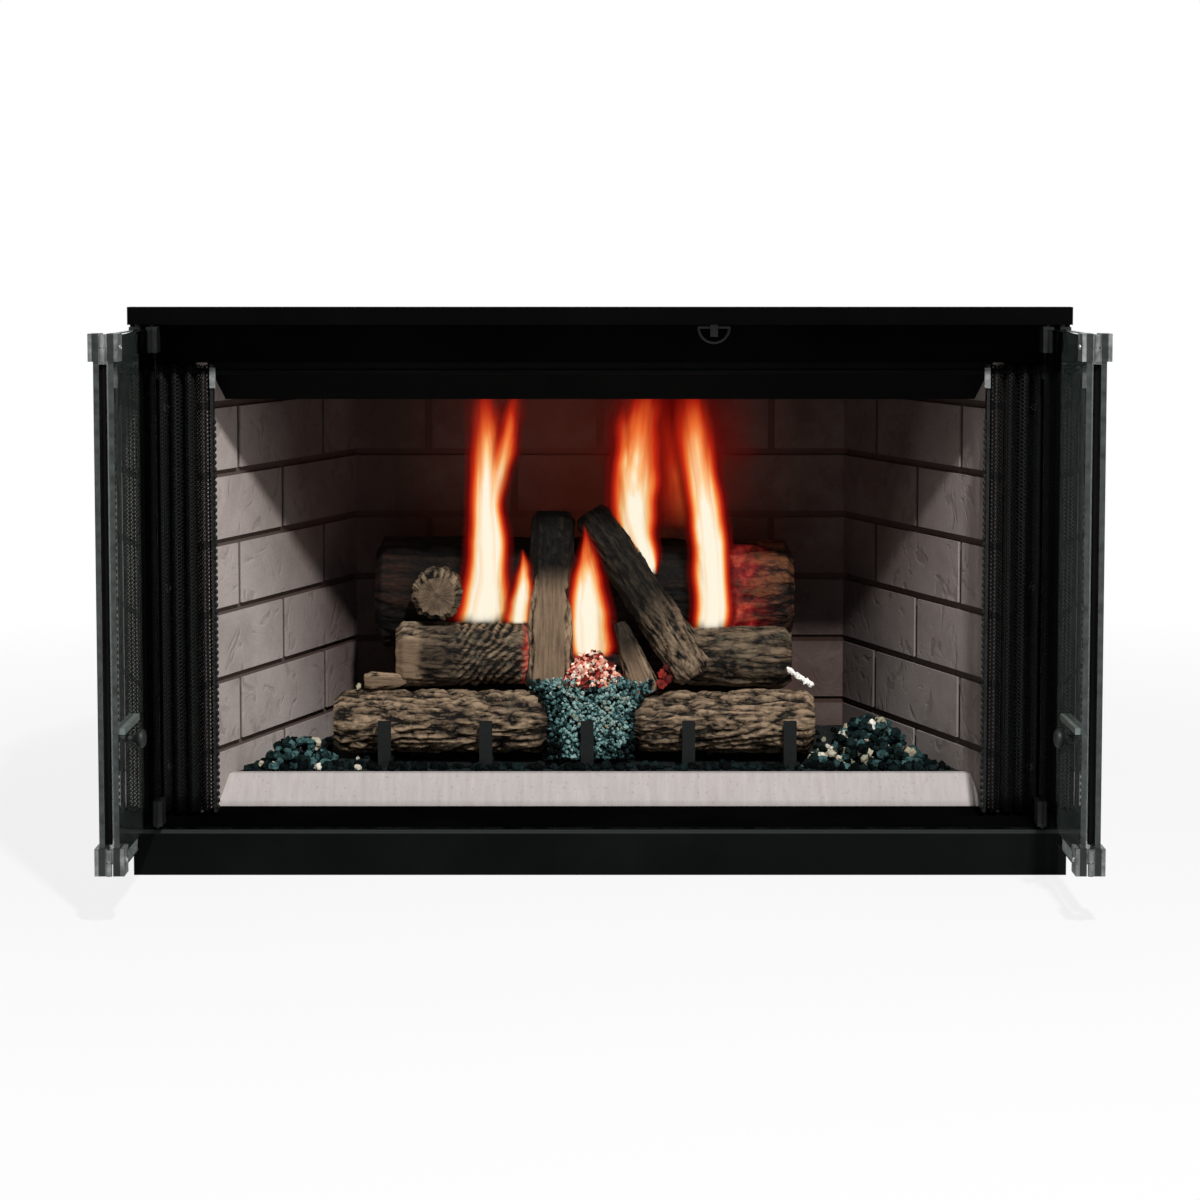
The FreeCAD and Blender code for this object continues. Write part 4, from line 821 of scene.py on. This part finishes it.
# Each loose cinder: its place and radius in millimetres, its tone and its glow
CINDERS_AND_GLINT = [(68, -18, 160, 6.0, 0.1, 0.4), (75, -17, 165, 5.5, 0.1, 0.25), (69, -16, 171, 5.5, 0.1, 0.45),
           (73, -15, 178, 4.5, 0.1, 0.2), (-268, -14, 157, 4.0, 0.78, 0.0)]
# A row of white stones beside the right end of the logs: a painted glint.
CINDERS_AND_GLINT += [(205 + 2.6 * i, -15, 178 - 1.7 * i, 3.8, 1.08, 0.0) for i in range(12)]


def make_granules():
    """Small teal stones that fill the gap between the front logs, with hot embers on top."""
    draw = random.Random(67)
    stones = []
    for _ in range(2000):
        rise = draw.random()
        z = BAR_TOP + 2 * MM + rise * (PILE_TOP - BAR_TOP)
        half = PILE_HALF + PILE_SPILL * smooth(0.5, 1.0, rise)
        x = PILE_MIDDLE + draw.uniform(-half, half)
        lump = noise.noise(Vector((x, 0.0, z)) * 55)
        y = PILE_FRONT + PILE_LEAN * rise + 4 * MM * lump + draw.uniform(0.0, 13.0) * MM
        side = abs(x - PILE_MIDDLE) / half
        shade = 0.2 * smooth(0.5, 0.0, rise) + 0.24 * smooth(0.6, 1.0, side) + 0.3 * lump
        stones.append((Vector((x, y, z)), draw.uniform(1.3, 2.7) * MM, draw.uniform(0.27, 0.7) - shade, 0.0))
    for _ in range(420):
        x = PILE_MIDDLE + draw.uniform(-PILE_HALF - PILE_SPILL, PILE_HALF + PILE_SPILL)
        y = draw.uniform(-0.036, 0.026)
        z = PILE_TOP - 9 * MM * smooth(0.03, 0.06, abs(x - PILE_MIDDLE)) + draw.uniform(-2.0, 3.0) * MM
        stones.append((Vector((x, y, z)), draw.uniform(1.4, 3.2) * MM, draw.uniform(0.1, 0.6), 0.0))
    for _ in range(460):
        reach = DOME_RADIUS * math.sqrt(draw.random())
        angle = draw.uniform(0, math.tau)
        lumpy = 0.8 + 0.4 * noise.noise(Vector((angle, reach * 60, 0)))
        crown = DOME_HEIGHT * (1 - (reach / DOME_RADIUS) ** 2) * lumpy
        spot = Vector((PILE_MIDDLE + reach * math.cos(angle), DOME_Y + 0.7 * reach * math.sin(angle),
                       PILE_TOP + crown - draw.uniform(0.0, 6.0) * MM))
        hot = draw.choice((0.2, 0.35, 0.55, 0.9))
        stones.append((spot, draw.uniform(1.6, 3.4) * MM, draw.choice((0.05, 0.1, 0.8, 0.95)), hot))
    stone_pile("granules", stones, draw)
    chunks = [(Vector((x, y, z)) * MM, size * MM, tone, glow) for x, y, z, size, tone, glow in CINDERS_AND_GLINT]
    stone_pile("loose_chunks", chunks, draw)


make_embers()
make_granules()


# Flames: thin lens-shaped blades about one spine, so that the fire has a body from every side

# Each blade: its turn about the spine, its share of the width and how much it cools towards its rim
BLADES = ((0.0, 1.0, 1.0), (58.0, 0.6, 0.5), (-58.0, 0.6, 0.5))
BLADE_LOOP = 28
FLAME_ROWS = 36

# Each flame: its depth, and its spine from the bottom up as (across, height, half width), in millimetres
FLAMES = {
    "flame_left": (10, ((-130, 224, 45), (-128, 240, 43), (-125, 272, 35), (-125, 314, 29), (-127, 357, 27),
                        (-126, 400, 26), (-126, 440, 26), (-127, 490, 28)), FLAME),
    "flame_tongue": (8, ((-120, 340, 14), (-114, 380, 18), (-105, 420, 19), (-98, 455, 18), (-94, 490, 16)),
                     TONGUE),
    "flame_wisp": (4, ((-91, 224, 20), (-89, 244, 20), (-86, 268, 16), (-85, 290, 10), (-86, 308, 3)), FLAME),
    "flame_centre": (4, ((-10, 186, 30), (-10, 200, 35), (-12, 228, 33), (-13, 262, 28), (-14, 294, 18),
                         (-15, 316, 10), (-17, 336, 3)), FLAME),
    "flame_right": (28, ((57, 276, 10), (51, 296, 20), (41, 324, 31), (38, 354, 36), (40, 395, 37),
                         (43, 430, 37), (50, 490, 42)), FLAME),
    "flame_tall": (14, ((124, 216, 28), (126, 240, 28), (124, 286, 28), (120, 330, 28), (113, 386, 29),
                        (107, 430, 32), (102, 490, 36)), FLAME),
    "flame_glow": (66, ((88, 322, 74), (86, 370, 92), (82, 430, 100), (80, 498, 100)), HAZE),
}


def spine_at(spine, share):
    """The spine's place and half width at a share of its height, rounded between its points."""
    low = spine[0][1]
    height = low + (spine[-1][1] - low) * share
    for i in range(len(spine) - 1):
        if height <= spine[i + 1][1] or i == len(spine) - 2:
            t = (height - spine[i][1]) / (spine[i + 1][1] - spine[i][1])
            before = spine[max(i - 1, 0)]
            after = spine[min(i + 2, len(spine) - 1)]
            result = []
            for axis in (0, 2):
                p0, p1, p2, p3 = (spot[axis] for spot in (before, spine[i], spine[i + 1], after))
                result.append(0.5 * (2 * p1 + (p2 - p0) * t + (2 * p0 - 5 * p1 + 4 * p2 - p3) * t * t
                                     + (3 * p1 - p0 - 3 * p2 + p3) * t ** 3))
            return result[0] * MM, height * MM, max(result[1], 1.5) * MM


def flame_piece(name, depth, spine, material, seed):
    points = []
    faces = []
    values = {"across": [], "cooled": [], "rise": []}
    for turn, width, cooled in BLADES:
        direction = Vector((math.cos(math.radians(turn)), math.sin(math.radians(turn)), 0))
        square = Vector((-direction.y, direction.x, 0))
        faces += tube(FLAME_ROWS + 1, BLADE_LOOP, len(points))
        for i in range(FLAME_ROWS + 1):
            share = i / FLAME_ROWS
            x, z, half = spine_at(spine, share)
            half *= width
            sway = noise.noise(Vector((seed * 9.0 + turn, share * 3.2, 0))) * 4 * MM * share
            middle = Vector((x + sway, depth * MM, z))
            for across, lens in circle(BLADE_LOOP):
                ragged = 1 + 0.16 * noise.noise(Vector((seed + turn, share * 7, 2.0 if across > 0 else 5.0)))
                belly = 0.16 * half * lens * (1 - 0.5 * abs(across))
                points.append(middle + direction * (across * half * ragged) + square * belly)
                for key, value in zip(values, (across, across * cooled, share)):
                    values[key].append(value)
    mesh_piece(name, points, faces, material, values=values)


for seed, (flame_name, (depth, spine, finish)) in enumerate(FLAMES.items(), 1):
    flame_piece(flame_name, depth, spine, finish, seed)


# Fire screen: a gathered sheet of wire mesh on each side, with the looped ends of its coils on the lead edge

FIXED_X = 0.456
LEAD_X = 0.4045
FOLDS = 7
FOLD_SWING = 8.0 * MM
RIPPLE = 1.9 * MM
RIPPLES = 21
SHEET_COLUMNS = 420
SHEET_ROWS = 24
HEM_X = 0.3992
HEM_Y = SCREEN_Y - 7.6 * MM
HEM_LOW = 0.058
HEM_HIGH = 0.462
HEM_LOOPS = 58
LOOP_SIZE = (1.9, 1.3, 2.7)


def make_curtain(word, sign):
    low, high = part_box("mesh_curtain_" + word)
    tall = high.z - low.z
    path = []
    for i in range(SHEET_COLUMNS + 1):
        share = i / SHEET_COLUMNS
        phase = math.pi * FOLDS * share
        ripple = RIPPLE * abs(math.sin(phase)) * math.sin(math.tau * RIPPLES * share)
        x = FIXED_X - (FIXED_X - LEAD_X) * share + ripple * smooth(0, 0.03, min(share, 1 - share))
        path.append(Vector((x * sign, SCREEN_Y - FOLD_SWING * math.cos(phase), 0)))
    runs = [0.0]
    for here, there in zip(path, path[1:]):
        runs.append(runs[-1] + (there - here).length)
    points = []
    for i in range(SHEET_ROWS + 1):
        z = low.z + tall * i / SHEET_ROWS
        points += [spot + Vector((0, 0, z)) for spot in path]
    faces = grid(SHEET_ROWS, SHEET_COLUMNS)
    wrap = grid_wrap(SHEET_ROWS, SHEET_COLUMNS, lambda i, j: (runs[j], tall * i / SHEET_ROWS))
    piece = mesh_piece("screen_sheet_" + word, points, faces, MESH, body=None, wrap=wrap)
    wall = piece.modifiers.new("wire", "SOLIDIFY")
    wall.thickness = 0.5 * MM
    wall.offset = 0.0
    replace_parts(piece, "mesh_curtain_" + word)
    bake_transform(piece)

    loops = []
    faces = []
    for i in range(HEM_LOOPS):
        z = HEM_LOW + (HEM_HIGH - HEM_LOW) * i / (HEM_LOOPS - 1)
        faces += stone_faces(len(loops))
        middle = Vector((HEM_X * sign, HEM_Y, z))
        for point in STONE_POINTS:
            loops.append(middle + Vector(p * s for p, s in zip(point, LOOP_SIZE)) * MM)
    hem = mesh_piece("screen_hem_" + word, loops, faces, IRON, body="screen_" + word)


for word, sign in SIDES:
    make_curtain(word, sign)


# Turned door knobs

# From the foot to the tip, as (run, radius) in millimetres
KNOB_PROFILE = ((0.0, 4.0), (1.5, 4.2), (4.0, 3.6), (7.0, 3.8), (9.0, 6.0), (10.5, 8.2), (12.5, 9.0),
                (15.0, 8.8), (16.8, 7.4), (17.7, 4.6))
KNOB_TIP = 18.0
KNOB_SEGMENTS = 40


def make_knob(word, sign):
    low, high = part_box("door_knob_" + word)
    foot = low.x if sign < 0 else high.x
    middle = (low + high) / 2
    points = []
    for run, radius in KNOB_PROFILE:
        for cosine, sine in circle(KNOB_SEGMENTS):
            points.append((foot - sign * run * MM, middle.y + radius * MM * cosine,
                           middle.z + radius * MM * sine))
    faces = grid(len(KNOB_PROFILE) - 1, KNOB_SEGMENTS, 0, True)
    tip = len(points)
    last = tip - KNOB_SEGMENTS
    points.append((foot - sign * KNOB_TIP * MM, middle.y, middle.z))
    for j in range(KNOB_SEGMENTS):
        faces.append((last + j, last + (j + 1) % KNOB_SEGMENTS, tip))
    faces.append(tuple(range(KNOB_SEGMENTS - 1, -1, -1)))
    piece = mesh_piece("turned_knob_" + word, points, faces, DARK_PULL,
                       body="door_%s_inner" % word)
    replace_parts(piece, "door_knob_" + word)


for word, sign in SIDES:
    make_knob(word, sign)


# Small hardware: screw heads on the casing and the glass clips, a lapped casing seam, the fold seals

# A screw head's profile as shares of its height and radius
HEAD_PROFILE = ((0.0, 1.0), (0.45, 1.0), (0.8, 0.82), (1.0, 0.52), (0.98, 0.4), (0.55, 0.34))
HEAD_SEGMENTS = 18
STRIP_STEPS = 24
CASING_X = 0.4728
CASING_REAR = 0.2465
SCREW_INSET = 0.014
SCREW_LEVELS = [0.05 + 0.0925 * i for i in range(6)]
TOP_SCREWS = (-0.14, -0.02, 0.1, 0.2)
SEAM_PROFILE = ((-13.0, 0.0), (-12.4, 0.7), (-11.0, 0.9), (11.0, 0.9), (12.4, 0.7), (13.0, 0.0))
SEAM_PROUD = 0.9 * MM
SEAM_ENDS = (0.006, 0.558)
SEAM_SCREW_X = 0.006
SEAM_SCREW_LIFT = 0.02
SIDE_SCREW_SHARES = (0.04, 0.95)
FOLD_CLIP_Y = -0.457
JAMB_CLIP_Y = -0.2445
CLIP_LEVELS = (0.066, 0.549)
OUTER_CLIP_X = 0.475
INNER_CLIP_X = 0.447
GLASS_FACE = 0.4655
SEAL_Y = -0.4605
SEAL_ENDS = (0.081, 0.533)
# The seal's lips and bulb, in millimetres and degrees
SEAL_LIP = 1.2
SEAL_HALF = 5.0
SEAL_NECK = 2.0
BULB_MIDDLE = 3.6
BULB_RADIUS = 2.9
BULB_TURN = 130
BULB_STEPS = 12


def screw_heads(name, spots, radius, height, body=ROOT):
    """Flanged screw heads with a socket, each given as its place and the direction it faces."""
    points = []
    faces = []
    for place, facing in spots:
        facing = Vector(facing).normalized()
        side = facing.orthogonal().normalized()
        other = facing.cross(side)
        faces += tube(len(HEAD_PROFILE), HEAD_SEGMENTS, len(points))
        for rise, share in HEAD_PROFILE:
            for cosine, sine in circle(HEAD_SEGMENTS):
                arm = side * cosine + other * sine
                points.append(Vector(place) + facing * rise * height + arm * share * radius)
    mesh_piece(name, points, faces, BRIGHT, body=body, soft=False)


def upright_strip(name, outline, ends, material, body):
    """An outline in plan, drawn up from one height to another in short steps."""
    low, high = ends
    points = []
    for i in range(STRIP_STEPS + 1):
        z = low + (high - low) * i / STRIP_STEPS
        points += [(x, y, z) for x, y in outline]
    faces = tube(STRIP_STEPS + 1, len(outline))
    mesh_piece(name, points, faces, material, body=body, soft=False)


def make_casing_details():
    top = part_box("casing_top")[1].z
    corner = wall_half(CASING_REAR, CASING_X)
    spots = []
    for _, sign in SIDES:
        for z in SCREW_LEVELS:
            spots.append(((sign * (corner - SCREW_INSET), CASING_REAR, z), (0, 1, 0)))
            for share in SIDE_SCREW_SHARES:
                y = WALL_FRONT + (CASING_REAR - WALL_FRONT) * share
                spots.append(((sign * wall_half(y, CASING_X), y, z), (sign, WALL_SLOPE, 0)))
        for y in TOP_SCREWS:
            spots.append(((sign * (wall_half(y, CASING_X) - SCREW_INSET), y, top), (0, 0, 1)))
        for z in SCREW_LEVELS:
            spots.append(((sign * SEAM_SCREW_X, CASING_REAR + SEAM_PROUD, z + SEAM_SCREW_LIFT), (0, 1, 0)))
    screw_heads("casing_screws", spots, 4.0 * MM, 2.0 * MM)
    seam = [(x * MM, CASING_REAR + y * MM) for x, y in reversed(SEAM_PROFILE)]
    upright_strip("casing_seam", seam, SEAM_ENDS, GALVANISED, ROOT)


def make_door_details(word, sign):
    for which, x, out, rows in (("outer", OUTER_CLIP_X, 1, (FOLD_CLIP_Y, JAMB_CLIP_Y)),
                                ("inner", INNER_CLIP_X, -1, (FOLD_CLIP_Y,))):
        spots = [((sign * x, y, z), (sign * out, 0, 0)) for y in rows for z in CLIP_LEVELS]
        name = "clip_screws_%s_%s" % (which, word)
        screw_heads(name, spots, 2.8 * MM, 1.2 * MM, "door_%s_%s" % (word, which))
    outline = [(0.0, -SEAL_HALF), (SEAL_LIP, -SEAL_HALF), (SEAL_LIP, -SEAL_NECK)]
    for i in range(BULB_STEPS + 1):
        angle = math.radians(-BULB_TURN + 2 * BULB_TURN * i / BULB_STEPS)
        outline.append((BULB_MIDDLE + BULB_RADIUS * math.cos(angle), BULB_RADIUS * math.sin(angle)))
    outline += [(SEAL_LIP, SEAL_NECK), (SEAL_LIP, SEAL_HALF), (0.0, SEAL_HALF)]
    plan = [(sign * (GLASS_FACE - x * MM), SEAL_Y + y * MM) for x, y in outline]
    if sign > 0:
        plan.reverse()
    upright_strip("fold_seal_" + word, plan, SEAL_ENDS, SEAL_RUBBER, "door_%s_outer" % word)


make_casing_details()
for word, sign in SIDES:
    make_door_details(word, sign)


# Floor, light and camera

FLOOR_HALF = 60.0
FLOOR_DARK = (0.6, 0.6, 0.6, 1.0)
FLOOR_LIGHT = (0.63, 0.63, 0.63, 1.0)
WHITE = (1.0, 1.0, 1.0, 1.0)
SKY_LIGHT = 0.2
LIGHT_AIM = Vector((0.0, -0.1, 0.3))
LIGHT_AWAY = 3.2
LIGHT_AZIMUTH = math.radians(12.0)
LIGHT_ELEVATION = math.radians(42.5)
LIGHT_POWER = 118
LIGHT_SIZE = 0.16
CAMERA_PLACE = (0.0, -2.8958, 0.6383)
CAMERA_TILT = math.radians(86.0)
CAMERA_LENS = 78.6
CAMERA_SHIFT = -0.138


def floor_finish():
    """Pale floor that turns white away from the object, for the rays that show the background."""
    tree = new_tree("pale_floor", Roughness=0.9, specular=0.0)
    tree.set("Base Color", tree.mix(tree.span(tree.noise(0.6, 2), 0.3, 0.7), FLOOR_DARK, FLOOR_LIGHT))
    away = tree.add("VectorMath", "Value", {0: tree.place()}, operation="LENGTH")
    white_share = tree.span(away, 0.7, 1.9, 0.85, 1.0)
    white = tree.add("Emission", 0, {})
    tree.blend(tree.times(white_share, tree.seen()), white, tree.shader.outputs[0])
    return tree.owner


floor_mesh = bpy.data.meshes.new("floor")
corners = ((-1, -1), (1, -1), (1, 1), (-1, 1))
floor_mesh.from_pydata([(x * FLOOR_HALF, y * FLOOR_HALF, -0.2 * MM) for x, y in corners], [], [(0, 1, 2, 3)])
floor_mesh.materials.append(floor_finish())
floor = bpy.data.objects.new("floor", floor_mesh)
scene.collection.objects.link(floor)

sky = Tree(bpy.data.worlds.new("studio"), "Background", Color=WHITE)
sky.set("Strength", sky.span(sky.seen(), 0.0, 1.0, SKY_LIGHT, 1.0))
scene.world = sky.owner

flat = math.cos(LIGHT_ELEVATION)
toward = Vector((math.sin(LIGHT_AZIMUTH) * flat, -math.cos(LIGHT_AZIMUTH) * flat, math.sin(LIGHT_ELEVATION)))
key_data = bpy.data.lights.new("key", "AREA")
key_data.shape = "DISK"
key_data.size = LIGHT_SIZE
key_data.energy = LIGHT_POWER
key = bpy.data.objects.new("key", key_data)
key.location = LIGHT_AIM + toward * LIGHT_AWAY
key.rotation_euler = (-toward).to_track_quat("-Z", "Y").to_euler()
scene.collection.objects.link(key)

camera_data = bpy.data.cameras.new("camera")
camera_data.sensor_width = 36.0
camera_data.lens = CAMERA_LENS
camera_data.shift_y = CAMERA_SHIFT
camera = bpy.data.objects.new("camera", camera_data)
camera.location = CAMERA_PLACE
camera.rotation_euler = (CAMERA_TILT, 0.0, 0.0)
scene.collection.objects.link(camera)
scene.camera = camera
scene.view_settings.view_transform = "Standard"
